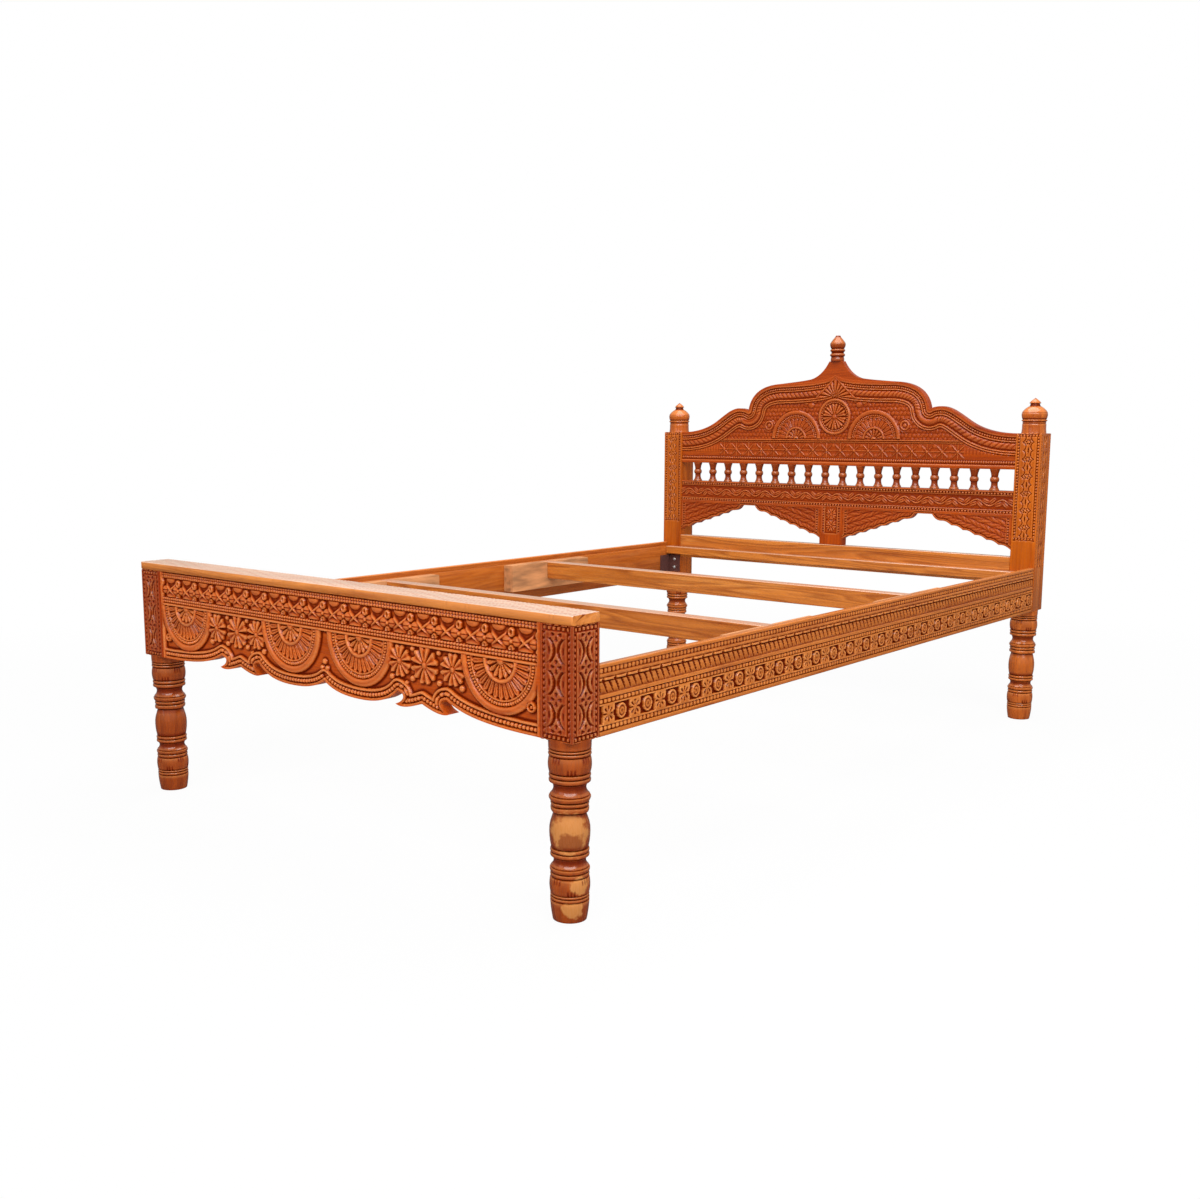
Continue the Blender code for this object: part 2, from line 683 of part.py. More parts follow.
# Bearers and their blocks; each bearer lifts straight out of its pair of notches
BEARER_LOW = DECK_Z - BEARER_DEEP
BEARER_END = RAIL_INNER - BEARER_PLAY
NOTCH_HALF = BEARER_THICK / 2 + BEARER_PLAY
NOTCH_FLOOR = BEARER_LOW - SEAT_GAP
for number in (1, 2):
    across = FOOT_Y + FIRST_BEARER + (number - 1) * BEARER_SPACING
    board(
        "bearer_%d" % number,
        (-BEARER_END, across - BEARER_THICK / 2, BEARER_LOW),
        (BEARER_END, across + BEARER_THICK / 2, DECK_Z),
    )
    notched = [
        (across - BLOCK_LONG / 2, DECK_Z),
        (across - BLOCK_LONG / 2, NOTCH_FLOOR - BLOCK_FLOOR),
        (across + BLOCK_LONG / 2, NOTCH_FLOOR - BLOCK_FLOOR),
        (across + BLOCK_LONG / 2, DECK_Z),
        (across + NOTCH_HALF, DECK_Z),
        (across + NOTCH_HALF, NOTCH_FLOOR),
        (across - NOTCH_HALF, NOTCH_FLOOR),
        (across - NOTCH_HALF, DECK_Z),
    ]
    for side in (-1, 1):
        middle = side * (RAIL_INNER - SEAT_GAP - BLOCK_THICK / 2)
        sawn("block_%d_%s" % (number, side_name(side)), [notched], "YZ", middle, BLOCK_THICK, RAW_WOOD)

# Ledgers that carry the two ends of the deck
LEDGER_END = RAIL_INNER - SEAT_GAP
for place, seat, inward in (("foot", FOOT_POST_REAR, 1), ("head", HEAD_POST_FRONT, -1)):
    near = seat + inward * SEAT_GAP
    far = near + inward * LEDGER_THICK
    board(
        place + "_ledger",
        (-LEDGER_END, min(near, far), DECK_Z - LEDGER_DEEP),
        (LEDGER_END, max(near, far), DECK_Z),
    )

# Headboard frame; the lower rail is flush with the posts so that the ledger lies flat on it
board(
    "lower_head_rail",
    (-BOARD_END, HEAD_POST_FRONT, LOWER_RAIL_LOW),
    (BOARD_END, HEAD_POST_FRONT + HEAD_STOCK, LOWER_RAIL_TOP),
)
board(
    "centre_stile",
    (-STILE_WIDE / 2, HEAD_FRONT, LOWER_RAIL_TOP + SEAT_GAP),
    (STILE_WIDE / 2, HEAD_REAR, MID_RAIL_LOW - SEAT_GAP),
)
board(
    "mid_rail",
    (-BOARD_END, HEAD_FRONT, MID_RAIL_LOW),
    (BOARD_END, HEAD_REAR, MID_RAIL_TOP),
)

# Gallery of balusters, evenly spaced between the posts
gallery_pitch = 2 * BOARD_END / (BALUSTERS + 1)
baluster_rings = turning(BALUSTER_MEMBERS, GALLERY - 2 * SEAT_GAP, BALUSTER_RADIUS)
for number in range(1, BALUSTERS + 1):
    baluster = turned("baluster_%02d" % number, baluster_rings, SMALL_STEPS, TEAK)
    baluster.location = (number * gallery_pitch - BOARD_END, HEAD_PANEL_MIDDLE, CREST_LOW - SEAT_GAP)


def crest_outline():
    """Spire, ogee, shoulder, notch, side lobe and the sweep down to the post."""
    top = HEAD_POST_TOP
    line = [(0.0, top + SPIRE_RISE), (SPIRE_HALF, top + SPIRE_RISE)]
    waypoints = (
        (CREST_OGEE, OGEE_RISE, SPIRE_PULLS, 5),
        (CREST_SHOULDER, SHOULDER_RISE, OGEE_PULLS, 3),
        (CREST_NOTCH, NOTCH_RISE, SHOULDER_PULLS, 8),
        (CREST_LOBE, LOBE_RISE, NOTCH_PULLS, 3),
        (CREST_SWEEP, SWEEP_RISE, LOBE_PULLS, 5),
        (1.0, 0.0, SWEEP_PULLS, 5),
    )
    for share, rise, pulls, steps in waypoints:
        line += stretch(line[-1], pulls, (BOARD_END * share, top + rise), steps)
    line.append((BOARD_END, CREST_LOW))
    return both_sides(line)


sawn("crest_panel", [crest_outline()], "XZ", HEAD_PANEL_MIDDLE, HEAD_PANEL_STOCK)
finial_rings = turning(CREST_FINIAL_MEMBERS, CREST_FINIAL - SEAT_GAP, CREST_FINIAL_RADIUS)
crest_finial = turned("crest_finial", finial_rings, POST_STEPS, TEAK)
crest_finial.location = (0.0, HEAD_PANEL_MIDDLE, HEAD_POST_TOP + SPIRE_RISE + CREST_FINIAL)


def arch_half(span, crown):
    """Under edge of an arch from its flat crown down a row of scallops, as distance out and height."""
    foot = LOWER_RAIL_TOP + ARCH_FOOT_CLEAR
    shoulder = (ARCH_CROWN_HALF + ARCH_SHOULDER_RUN, crown - ARCH_SHOULDER_DROP)
    line = [(ARCH_CROWN_HALF, crown)]
    line += stretch(line[0], CROWN_PULLS, shoulder, 3)
    wide = (span - shoulder[0]) / ARCH_SCALLOPS
    fall = (shoulder[1] - foot) / ARCH_SCALLOPS
    for step in range(1, ARCH_SCALLOPS * SCALLOP_STEPS + 1):
        along = step / SCALLOP_STEPS
        lift = ARCH_SCALLOP_DEEP * abs(math.sin(math.pi * along))
        line.append((shoulder[0] + along * wide, shoulder[1] - along * fall + lift))
    return line


ARCH_INNER = STILE_WIDE / 2 + SEAT_GAP
ARCH_MIDDLE = (ARCH_INNER + BOARD_END) / 2
ARCH_TOP = MID_RAIL_LOW - SEAT_GAP
half_arch = arch_half(BOARD_END - ARCH_MIDDLE, ARCH_TOP - ARCH_CROWN_WEB)
for side in (-1, 1):
    under = [(-x, z) for x, z in reversed(half_arch)] + half_arch
    outline = [(side * (ARCH_MIDDLE + x), z) for x, z in under]
    outline += [(side * BOARD_END, ARCH_TOP), (side * ARCH_INNER, ARCH_TOP)]
    sawn("arch_panel_" + side_name(side), [outline], "XZ", HEAD_PANEL_MIDDLE, HEAD_PANEL_STOCK)
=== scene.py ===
"""Looks of a carved teak bed: carved boards, turned posts, finishes, floor, light and camera."""
import json
import math
from functools import partial

import bpy
import numpy as np
from bpy.props import FloatProperty, FloatVectorProperty, IntProperty, PointerProperty
from bpy.types import Operator, Panel, PropertyGroup
from mathutils import Matrix, Vector


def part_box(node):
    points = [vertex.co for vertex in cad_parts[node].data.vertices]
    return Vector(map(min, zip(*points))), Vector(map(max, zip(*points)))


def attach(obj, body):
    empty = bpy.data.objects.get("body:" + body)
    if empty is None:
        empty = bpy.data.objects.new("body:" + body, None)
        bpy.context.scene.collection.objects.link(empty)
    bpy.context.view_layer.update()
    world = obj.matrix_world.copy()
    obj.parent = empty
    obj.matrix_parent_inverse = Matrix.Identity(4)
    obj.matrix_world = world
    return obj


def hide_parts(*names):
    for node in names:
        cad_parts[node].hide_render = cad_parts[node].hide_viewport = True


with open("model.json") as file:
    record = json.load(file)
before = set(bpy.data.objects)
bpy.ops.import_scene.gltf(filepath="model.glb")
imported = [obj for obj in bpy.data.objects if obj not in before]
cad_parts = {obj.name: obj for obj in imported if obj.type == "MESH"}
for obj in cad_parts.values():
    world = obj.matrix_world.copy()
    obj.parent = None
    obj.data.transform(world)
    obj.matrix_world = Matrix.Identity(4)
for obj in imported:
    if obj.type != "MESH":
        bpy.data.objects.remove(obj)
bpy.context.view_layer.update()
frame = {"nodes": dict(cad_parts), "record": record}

bl_info = {
    "name": "Carved Teak Bed",
    "version": (1, 0, 0),
    "blender": (4, 5, 0),
    "location": "View3D > Sidebar > Bed",
    "description": "Carved and turned pieces, finishes and a studio for a teak bed frame",
    "category": "Object",
}

HANDS = {"left": -1, "right": 1}

# Boards and posts as the frame has them
PANEL_LOW, PANEL_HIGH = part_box("foot_panel")
CREST_LOW, CREST_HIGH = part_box("crest_panel")
ARCH_LOW, ARCH_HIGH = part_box("arch_panel_right")
CAP_LOW, CAP_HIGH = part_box("foot_cap")
RAIL_LOW, RAIL_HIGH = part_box("side_rail_right")
BOARD_END = PANEL_HIGH.x
LEG_HIGH = RAIL_LOW.z
ARRIS = 0.0015
SHARP_ANGLE = math.radians(48)

# Rises of the crest above its ends and of the panel's lower edge above the legs
CREST_AT_POST = 0.1017
CREST_RISES = {
    "spire": 0.2183, "ogee": 0.1645, "shoulder": 0.153, "notch": 0.0695, "lobe": 0.078, "sweep": 0.0295,
}
SPIRE_HALF = 0.0225
LOBE_LOW = 0.0007
MIDDLE_CUSP = 0.0237
HOOK_BELLY = 0.0017
HOOK_MIDDLE = 0.017
HOOK_TIP = 0.0070
HOOK_ROOT = 0.033
PANEL_LOBE = 0.185
PANEL_HOOK = 0.489
HOOK_REACH = 0.1245
HOOK_ROOT_REACH = 0.1140
HOOK_CURL = (0.15, 0.45)

# Ways along the crest from spire to post: place as a share of the half board, rise, pulls of the curve
CREST_WAYS = (
    (0.152, "ogee", ((0.19, 0.45), (0.54, 0.89))),
    (0.346, "shoulder", ((0.29, 0.43), (0.64, 0.70))),
    (0.5435, "notch", ((0.61, 0.05), (0.93, 0.39))),
    (0.6075, "lobe", ((0.22, 0.70), (0.57, 1.00))),
    (0.775, "sweep", ((0.33, 0.00), (0.69, 0.65))),
)
SWEEP_PULLS = ((0.23, 0.58), (0.56, 1.00))
HANGING_PULLS = ((0.25, 0.80), (0.60, 1.00))
RISING_PULLS = ((0.40, 0.00), (0.75, 0.20))
OUTER_PULLS = ((0.16, 0.62), (0.40, 1.00))
THROAT_PULLS = ((-4.3, 0.15), (-2.9, 0.72))
CROWN_PULLS = ((0.31, 0.65), (0.54, 0.89))

# Scalloped arches of the headboard
ARCH_CROWN_WEB = 0.008
ARCH_CROWN_HALF = 0.027
ARCH_SHOULDER_RUN = 0.026
ARCH_SHOULDER_DROP = 0.0186
ARCH_SCALLOPS = 6
ARCH_SCALLOP_DEEP = 0.0045
ARCH_LEAF_ROW = 0.0150
ARCH_LEAF_PITCH = 0.0115
ARCH_EDGE = 0.0065
ARCH_ENDS = 0.0175
ARCH_END_BEADS = (0.0080, 0.0145)
ARCH_BEAD_PITCH = 0.0078

# Turned members from the top down: share of the height, upper radius, lower radius, swell
LEG_MEMBERS = (
    (15.6, 1.035, 1.020, 0.000),
    (4.9, 0.985, 0.985, 0.040),
    (6.5, 0.985, 0.985, 0.045),
    (29.0, 0.985, 0.985, 0.060),
    (8.0, 0.965, 0.965, 0.040),
    (8.6, 0.965, 0.965, 0.040),
    (21.6, 0.880, 1.000, -0.150),
    (9.6, 1.000, 0.965, 0.020),
    (7.8, 0.925, 0.925, 0.050),
    (10.0, 0.955, 0.955, 0.045),
    (62.0, 0.840, 0.890, 0.115),
    (7.5, 0.905, 0.905, 0.035),
    (8.0, 0.905, 0.905, 0.035),
    (17.5, 0.850, 0.960, -0.125),
    (8.4, 0.960, 0.930, 0.018),
    (8.0, 0.895, 0.895, 0.045),
    (28.6, 0.935, 0.935, 0.045),
    (5.0, 0.905, 0.905, 0.035),
    (6.5, 0.905, 0.905, 0.040),
    (34.8, 0.945, 0.820, 0.020),
)
HEAD_FINIAL_MEMBERS = (
    (12, 0.000, 0.417, 0.028),
    (3, 0.431, 0.431, 0.000),
    (7, 0.361, 0.431, -0.033),
    (19, 0.431, 0.972, 0.083),
    (17, 0.972, 0.894, 0.025),
    (6, 0.894, 0.894, 0.061),
    (6, 0.878, 0.878, 0.000),
    (26, 0.903, 0.936, -0.022),
)
CREST_FINIAL_MEMBERS = (
    (4, 0.243, 0.344, 0.024),
    (19, 0.344, 0.960, 0.024),
    (16, 0.960, 0.777, 0.060),
    (9, 0.785, 0.785, 0.134),
    (4, 0.769, 0.769, 0.000),
    (10, 0.785, 0.785, 0.146),
    (13, 0.769, 0.830, 0.032),
)
BALUSTER_MEMBERS = (
    (3, 0.930, 0.930, 0.000),
    (17, 0.900, 0.640, -0.060),
    (15, 0.660, 0.660, 0.200),
    (16, 0.640, 0.800, -0.090),
    (5, 0.880, 0.950, 0.000),
)
BALUSTER_WIDER = 1.32
BOLT_MEMBERS = ((4, 0.0, 0.72, 0.30), (3, 0.74, 0.74, 0.0), (2, 1.0, 1.0, 0.0))
BOLT_TALL = 0.0046

# Cuts in the legs: feet and tops of two ticked barrels, then level and half length of the scoops
LEG_TICKS = ((0.2603, 0.2901), (0.0478, 0.0774))
TICK_DEEP = 0.0012
# Tone taken off in the ticks: painted shade
TICK_SHADE = 0.42
LEG_SCOOP = (0.1935, 0.0230)
SCOOP_DEEP = 0.0030

# Foot panel: bands of the frieze by height, then the fans below it
LATTICE_PITCH = 0.06359
LATTICE_CROSS = 0.4760
LATTICE_SLOPE = 0.65
LATTICE_REACH = 0.0175
LATTICE_LEAF = (0.0118, 0.0116, 0.0096)
LATTICE_LOOPS = ((0.0160, 0.0068, 0.0088), (-0.0122, 0.0056, 0.0064))
LATTICE_BALL = 0.0042
LATTICE_HUMPS = (0.0180, 0.0160)
LATTICE_HUMP_TALL = 0.0105
FRIEZE_BAND = (0.4605, 0.5015)
TOP_BEADS = (0.5030, 0.5090, 0.5150)
LOW_BEADS = (0.4470, 0.4530, 0.4590)
PANEL_FILLET = (0.4400, 0.4460)
PANEL_BEAD_PITCH = LATTICE_PITCH / 8
FAN_CENTRES = (0.107, 0.482)
FAN_LEVEL = 0.4395
FAN_RADIUS = 0.0895
FAN_PETALS = 15
FAN_HEARTS = 7

# Fans by shares of the radius: rim, beads, middles and half widths of two rings, petals, heart
FAN_RIM = (0.912, 1.075)
FAN_BEADS = (0.822, 0.906)
FAN_BEADS_PER_PETAL = 2.8
FAN_THIN_RING = (0.796, 0.022)
FAN_LONG_PETALS = (0.44, 0.455, 0.775)
FAN_RING = (0.410, 0.046)
FAN_SHORT_PETALS = (0.05, 0.36, 0.365)
FAN_HEART = 0.09

# Foot panel: flowers, balls and button by place, level and radius, then the border
FLOWERS = ((0.2226, 0.408, 0.031), (0.2904, 0.407, 0.0355), (0.3642, 0.408, 0.031))
BALLS = (
    (0.0, 0.3795, 0.0062), (0.0075, 0.3665, 0.0055), (0.1995, 0.3755, 0.0062), (0.2565, 0.3785, 0.0058),
    (0.2570, 0.4345, 0.0050), (0.3270, 0.4345, 0.0050), (0.3275, 0.3785, 0.0058), (0.3860, 0.3765, 0.0062),
    (0.1990, 0.4330, 0.0045), (0.3890, 0.4330, 0.0045), (0.2400, 0.3680, 0.0045), (0.3460, 0.3680, 0.0045),
)
BUTTON = (0.5545, 0.3675, 0.0095)
BORDER_EDGE = 0.0056
BORDER_BEADS = (0.0066, 0.0156)
BORDER_FILLET = (0.0168, 0.0228)
BORDER_BEAD_PITCH = 0.0092
END_FILLET = 0.5690

# Side rail: bands by height, flutes as start, upper and lower end and half width, and points of the face
RAIL_BEADS = ((0.4262, 0.4362), (0.3738, 0.3826), (0.3264, 0.3356))
RAIL_BEAD_COUNT = 176
RAIL_BARS = (0.4135, 0.4186)
RAIL_BAR_COUNT = 59
RAIL_BAR_START = 0.0115
RAIL_FLUTES = (0.3895, 0.4130)
RAIL_FLUTE_LEAN = 0.65
RAIL_FLUTE_BEND = 8.0
RAIL_CUTS = ((0.0, -0.0040, 0.0232, 0.0043), (0.5, 0.0020, 0.0212, 0.0038))
RAIL_MOTIFS = 26
RAIL_MOTIF_ENDS = (0.0319, 0.9867)
RAIL_MOTIF_LEVEL = 0.3547
RAIL_PIT = (0.0236, 0.0160)
RAIL_OVAL = (0.0122, 0.0140)
RAIL_STAR = (0.0035, 0.0150)
REBATE_WIDE = 0.014
RAIL_ROWS = 88
RAIL_STEPS = 962

# Posts: columns and rows on the carved faces, measured from the middle of the face
POST_COLUMN = (0.0245, 0.0308)
POST_BEAD_PITCH = 0.0102
POST_DENTIL = 0.0105
POST_DENTIL_PITCH = 0.0103
POST_PLAIN_POINTS = 5
POST_FACES = (-math.pi / 2, 0.0, math.pi / 2, math.pi)
CRESCENT_PITCH = 0.0550
CRESCENT_RADIUS = 0.0225
CRESCENT_OUT = 0.0268
CRESCENT_THICK = 0.0042
CRESCENT_SEED = (0.0155, 0.0028, 0.0075)
BLOOM_PETALS = (0.0030, 0.0125)
BLOOM_RING = 0.0150
CHAIN_PITCH = 0.0480
CHAIN_PETALS = (0.0025, 0.0085)
CHAIN_LEAF = (0.0200, 0.0130)
CHAIN_BEAD_PITCH = 0.0084
CHAIN_END_PITCH = 0.0088
CHAIN_END_BEADS = (0.0025, 0.0095)
SLANT_PITCH = 0.0430
SLANT_CUT = (0.0042, 0.0170)
SLANT_GROOVE = (0.0235, 0.0265)
SLANT_BEADS = (0.0275, 0.0325)
SLANT_BEAD_PITCH = 0.0086
HEAD_CARVED_FROM = 0.5165
POST_STRENGTHS = {"foot": (0.62, 1.0), "head": (0.75, 0.75)}

# Crest: mouldings by distance from the outline, then the middle field
CREST_CUSP = 0.1760
CUSP_PULLS = ((0.12, 0.70), (0.50, 0.97))
CREST_EDGE = 0.0125
CREST_BEADS = (0.0140, 0.0205)
CREST_BEAD_PITCH = 0.0072
CREST_FILLET = (0.0215, 0.0262)
CREST_ROPE = (0.0280, 0.0460)
CREST_ROPE_PITCH = 0.0150
CREST_INNER = ((0.0505, 0.0555), (0.0570, 0.0620))
CREST_FIELD = 0.0640
CREST_LIP = 0.7300
CREST_LIP_BEADS = (0.7330, 0.7405)
CREST_LIP_PITCH = 0.0074
STAR_BAND = (0.7425, 0.7875)
STAR_PITCH = 0.0478
STAR_END = 0.425
STAR_RADIUS = 0.0235
STAR_BALL = 0.004
STAR_BOSS = 0.0075
STAR_LEAF_PITCH = 0.0105
STAR_FILLETS = ((0.7890, 0.7930), (0.7945, 0.7990))
ROSETTE = (0.0, 0.8690, 0.0560)
CREST_FANS = (0.1355, 0.8010, 0.0820)
CREST_LEAF_PITCH = 0.0130
CREST_BUDS = ((0.083, 0.905, 0.011, 0.009), (0.100, 0.912, 0.009, 0.006), (0.070, 0.917, 0.008, 0.006))
CREST_CURL = (0.236, 0.842, 0.021)
PALMETTE = (0.9280, 0.0690, 0.0640)
PALMETTE_LEAVES = 20

# Mid rail and stile
MID_BEADS = ((0.5920, 0.5985), (0.6450, 0.6515))
MID_LEAVES = (0.6020, 0.6415)
MID_BEAD_PITCH = 0.0096
MID_LEAF_PITCH = 0.0753
MID_LEAF = (0.0140, 0.0064)
MID_WAVE = 0.0085
MID_STEM = 0.0026
STILE_CARVED_FROM = 0.5060
STILE_FIELD = 0.0215
STILE_BEADS = (0.0240, 0.0300)
STILE_BEAD_PITCH = 0.0080
STILE_FLOWERS = (0.530, 0.566)
STILE_FLOWER = 0.0170

# Cap: stipple, a painted highlight along its upper edges that grows from the left to the right end, and
# points along and across its top
STIPPLE_ROW = 0.0130
STIPPLE_PITCH = 0.0094
STIPPLE_DEEP = 0.0006
CAP_HIGHLIGHT = (0.62, 1.0)
CAP_STEPS = 1000
CAP_ROWS = 56

# The tone paints shade into the cuts and a highlight onto the crowns, through the stops of the teak below
# Tone of carving: how far round each place it is judged, the rise that gives the full tone, shares by depth
TONE_REACH = 0.0032
TONE_RANGE = 0.0034
PANEL_BY_DEPTH = 0.08
CREST_BY_DEPTH = 0.12
HEAD_BY_DEPTH = 0.14
POST_BY_DEPTH = 0.25
RAIL_BY_DEPTH = 0.60
CREST_STRENGTH = 0.60
# The rail's inner faces take a darker tone, and its top faces a painted highlight
INNER_TONE = 0.375
RAIL_TOP_HIGHLIGHT = 0.90

# On turned pieces the tone paints shade into the grooves and onto faces that look down, and a highlight onto
# the rings and faces that look up
# Tone of turned pieces in the same way, then the cell it is judged in, its limit and its share by the slope
TURN_REACH = 0.0050
TURN_RANGE = 0.0036
TURN_CELL = 0.0004
TURN_HIGHLIGHT_LIMIT = 0.58
TURN_SLOPE_SHADING = 0.24

# Grooves between turned members, then how short a ring is and how much deeper it starts
TURN_EDGE = 0.0015
LEG_GROOVE = 0.0030
FINIAL_GROOVE = 0.0012
SMALL_GROOVE = 0.0005
RING_SHARE = 0.045
RING_DEEPER = 0.035

# Wood that differs from piece to piece, as a tint of the teak
PANEL_TINT = (0.88, 0.78, 0.58)
POST_TINT = (0.48, 0.27, 0.17)
LEG_TINT = (0.51, 0.49, 0.64)
HEAD_LEG_TINT = (0.86, 1.12, 2.2)
RAIL_TINT = (0.97, 1.58, 4.0)
CAP_TINT = (1.22, 2.40, 8.5)
HEAD_TINT = (0.66, 0.555, 0.44)
HEAD_POST_TINT = (0.86, 1.08, 0.86)
PLAIN_TINT = (1.02, 1.86, 5.0)
BLOCKS = {"foot": ("teak_post", "Z", POST_TINT), "head": ("teak_head_post", "Z", HEAD_POST_TINT)}
TURNED = {"foot": ("teak_leg", "Z", LEG_TINT), "head": ("teak_head_leg", "Z", HEAD_LEG_TINT)}
TURNED_GLOSS = 2.0

# Noise of the teak by scale, detail and roughness, its growth rings, and its stretch along the grain
STREAKS = (40.0, 6.0, 0.62)
DRIFT = (6.0, 3.0)
FIGURE = (21.0, 1.5)
PORES = (420.0, 2.0)
GROWTH = {"Scale": 11.0, "Distortion": 7.0, "Detail": 3.0, "Detail Scale": 0.3}
STRETCH = {"X": (0.07, 1.0, 1.0), "Y": (1.0, 0.07, 1.0), "Z": (1.0, 1.0, 0.07)}
PORE_STRETCH = 0.06

# Bands that rise and drop with a slow noise, which draws the pointed figure of flat-sawn wood
FLAME = tuple((place, shade) for low in (0.30, 0.38, 0.455, 0.53, 0.61)
              for place, shade in ((low, (0.70, 0.60, 0.48)), (low + 0.02, (1.06, 1.08, 1.10))))
# Band below a plain board's level top over which a pale painted reflection of the sky fades in
SKY_SHEEN_BAND = 0.0016

# Knots and the sapwood round them on the near leg: middle, half sizes
LEG_SAPWOOD = (
    ((0.636, -1.030, 0.158), (0.048, 0.048, 0.052)),
    ((0.642, -1.026, 0.024), (0.026, 0.026, 0.021)),
    ((0.648, -1.016, 0.068), (0.026, 0.026, 0.022)),
)
LEG_KNOT = ((0.637, -1.029, 0.1445), (0.029, 0.029, 0.022))

# Stops of the teak's ramps: shades over a growth ring, a slow drift and the pores, and roughness by pores
RING_SHADES = ((0.0, 1.0), (0.60, (0.94, 0.91, 0.88)), (0.93, (0.78, 0.70, 0.62)), (1.0, 1.0))
DRIFT_SHADES = ((0.30, (0.80, 0.74, 0.68)), (0.52, 1.0), (0.72, (1.10, 1.14, 1.18)))
PORE_SHADES = ((0.34, (0.62, 0.54, 0.48)), (0.50, 1.0))
PORE_ROUGHNESS = ((0.30, 0.36), (0.60, 0.24))

# Stops by the carving's tone: share of painted shade in the cuts, of painted highlight on the crowns, and of
# a darker colour in the stipple pits of the cap's top
SHADE_STOPS = ((0.08, 1.0), (0.28, 0.72), (0.42, 0.20), (0.50, 0.0))
HIGHLIGHT_STOPS = ((0.52, 0.0), (0.72, 0.22), (1.0, 0.42))
STIPPLE_DARKER = ((0.15, 0.78), (0.46, 0.0))

# Floor and lamps of the studio; each lamp has a place, an aim and a size
FLOOR_HALF = 40.0
FLOOR_FADE = (1.3, 3.2)
LAMPS = {
    "top": ((0.2, 0.3, 3.3), (0.0, 0.3, 0.0), (3.0, 3.0)),
    "strip": ((2.4, -3.2, 3.3), (0.0, -0.2, 0.4), (5.0, 2.2)),
    "key": ((3.6, -1.6, 2.6), (0.0, 0.2, 0.5), (1.6, 1.6)),
    "fill": ((-0.8, -4.4, 2.2), (0.0, -0.4, 0.5), (2.0, 2.0)),
}

# Camera that the picture was taken with, by fitted place, turn and lens
CAMERA_PLACE = (1.9756, -2.5893, 0.8397)
CAMERA_AHEAD = (-0.6451, 0.7494, -0.1489)
CAMERA_LENS = 38.016
CAMERA_SHIFT = (0.026247, 0.014586)
SENSOR = 36.0


# Settings
def length_setting(name, description, default):
    """Length in metres."""
    return FloatProperty(name=name, description=description, default=default, unit="LENGTH")


def power_setting(name, description, default):
    """Power of a lamp in watts."""
    return FloatProperty(name=name, description=description, default=default, unit="POWER")


def strength_setting(name, description, default):
    """Strength of a light, as a plain number."""
    return FloatProperty(name=name, description=description, default=default)


def share_setting(name, description, default):
    """Share from 0 to 1."""
    return FloatProperty(name=name, description=description, default=default, subtype="FACTOR")


def colour_setting(name, description, default):
    """Colour by red, green and blue."""
    return FloatVectorProperty(name=name, description=description, default=default, subtype="COLOR")


class BedCarving(PropertyGroup):
    """How deep each board is carved and how fine its surface is."""
    panel_deep: length_setting("Foot panel", "Depth of the foot panel's ground", 0.0075)
    crest_deep: length_setting("Crest", "Depth of the crest's ground", 0.0060)
    rail_deep: length_setting("Side rails", "Depth of the cuts in the rails", 0.0060)
    post_deep: length_setting("Posts", "Depth of the cuts in the posts", 0.0050)
    head_deep: length_setting("Headboard", "Depth of the cuts below the gallery", 0.0052)
    cell: length_setting("Cell", "Size of one cell of a carved surface", 0.00146)


class BedTurning(PropertyGroup):
    """How round the turned pieces are."""
    sides: IntProperty(name="Post sides", description="Faces round a leg or finial", default=64)
    small_sides: IntProperty(name="Small sides", description="Faces round a baluster or bolt", default=28)
    steps: IntProperty(name="Steps", description="Rings along one turned member", default=9)


class BedFinish(PropertyGroup):
    """Colours and gloss of the wood and the steel."""
    light: colour_setting("Light teak", "Pale bands between the growth rings", (0.76, 0.170, 0.014))
    middle: colour_setting("Teak", "Body colour of the varnished teak", (0.62, 0.108, 0.006))
    dark: colour_setting("Dark teak", "Dark growth rings", (0.40, 0.050, 0.002))
    # Colour of the painted shade in the cuts
    painted_shade: colour_setting("Crevice", "Stain gathered in the cuts", (0.135, 0.010, 0.0006))
    # Colour of the painted highlight on the crowns and along the cap's upper edges
    painted_highlight: colour_setting("Worn crowns", "Polish worn thin on the high points", (0.90, 0.36, 0.11))
    sapwood: colour_setting("Sapwood", "Pale wood round a knot", (0.56, 0.225, 0.058))
    knot: colour_setting("Knot", "Dark wood of a knot", (0.25, 0.055, 0.010))
    raw: colour_setting("Raw wood", "Unfinished blocks", (0.515, 0.215, 0.078))
    # Colour of the painted reflection of the sky on the cap's top and on the level tops of plain boards
    pale: colour_setting("Pale top", "Worn top of the cap", (0.74, 0.49, 0.35))
    dark_steel: colour_setting("Dark steel", "Coated brackets", (0.150, 0.055, 0.045))
    bright_steel: colour_setting("Bright steel", "Plated bolts", (0.74, 0.73, 0.70))
    coat: share_setting("Varnish", "Weight of the clear coat", 0.40)


class BedStage(PropertyGroup):
    """Floor, light and sky."""
    floor: colour_setting("Floor", "Colour of the floor", (0.62, 0.62, 0.62))
    sky: strength_setting("Sky", "Strength of the even light from all round", 0.46)
    glint: strength_setting("Mirrored sky", "Strength of the sky in reflections", 0.30)
    mirrored: strength_setting("Mirrored floor", "Strength of the floor in reflections", 0.12)
    top: power_setting("Top", "Power of the large lamp overhead", 104.0)
    strip: power_setting("Strip", "Power of the long lamp before the near corner", 175.0)
    key: power_setting("Key", "Power of the lamp above the right side", 14.0)
    fill: power_setting("Fill", "Power of the lamp before the foot", 14.0)


# Places in a pattern, and small shapes that are 0 at their foot and 1 at their top
def dome(t):
    """Half-round: the square root of 1 less t squared, and 0 beyond."""
    return np.sqrt(np.clip(1 - t * t, 0, 1))


def strip(v, low, high, slope=0.0010):
    """Flat strip between two levels, with sides that slope over a short way."""
    return np.clip(np.minimum(v - low, high - v) / slope, 0, 1)


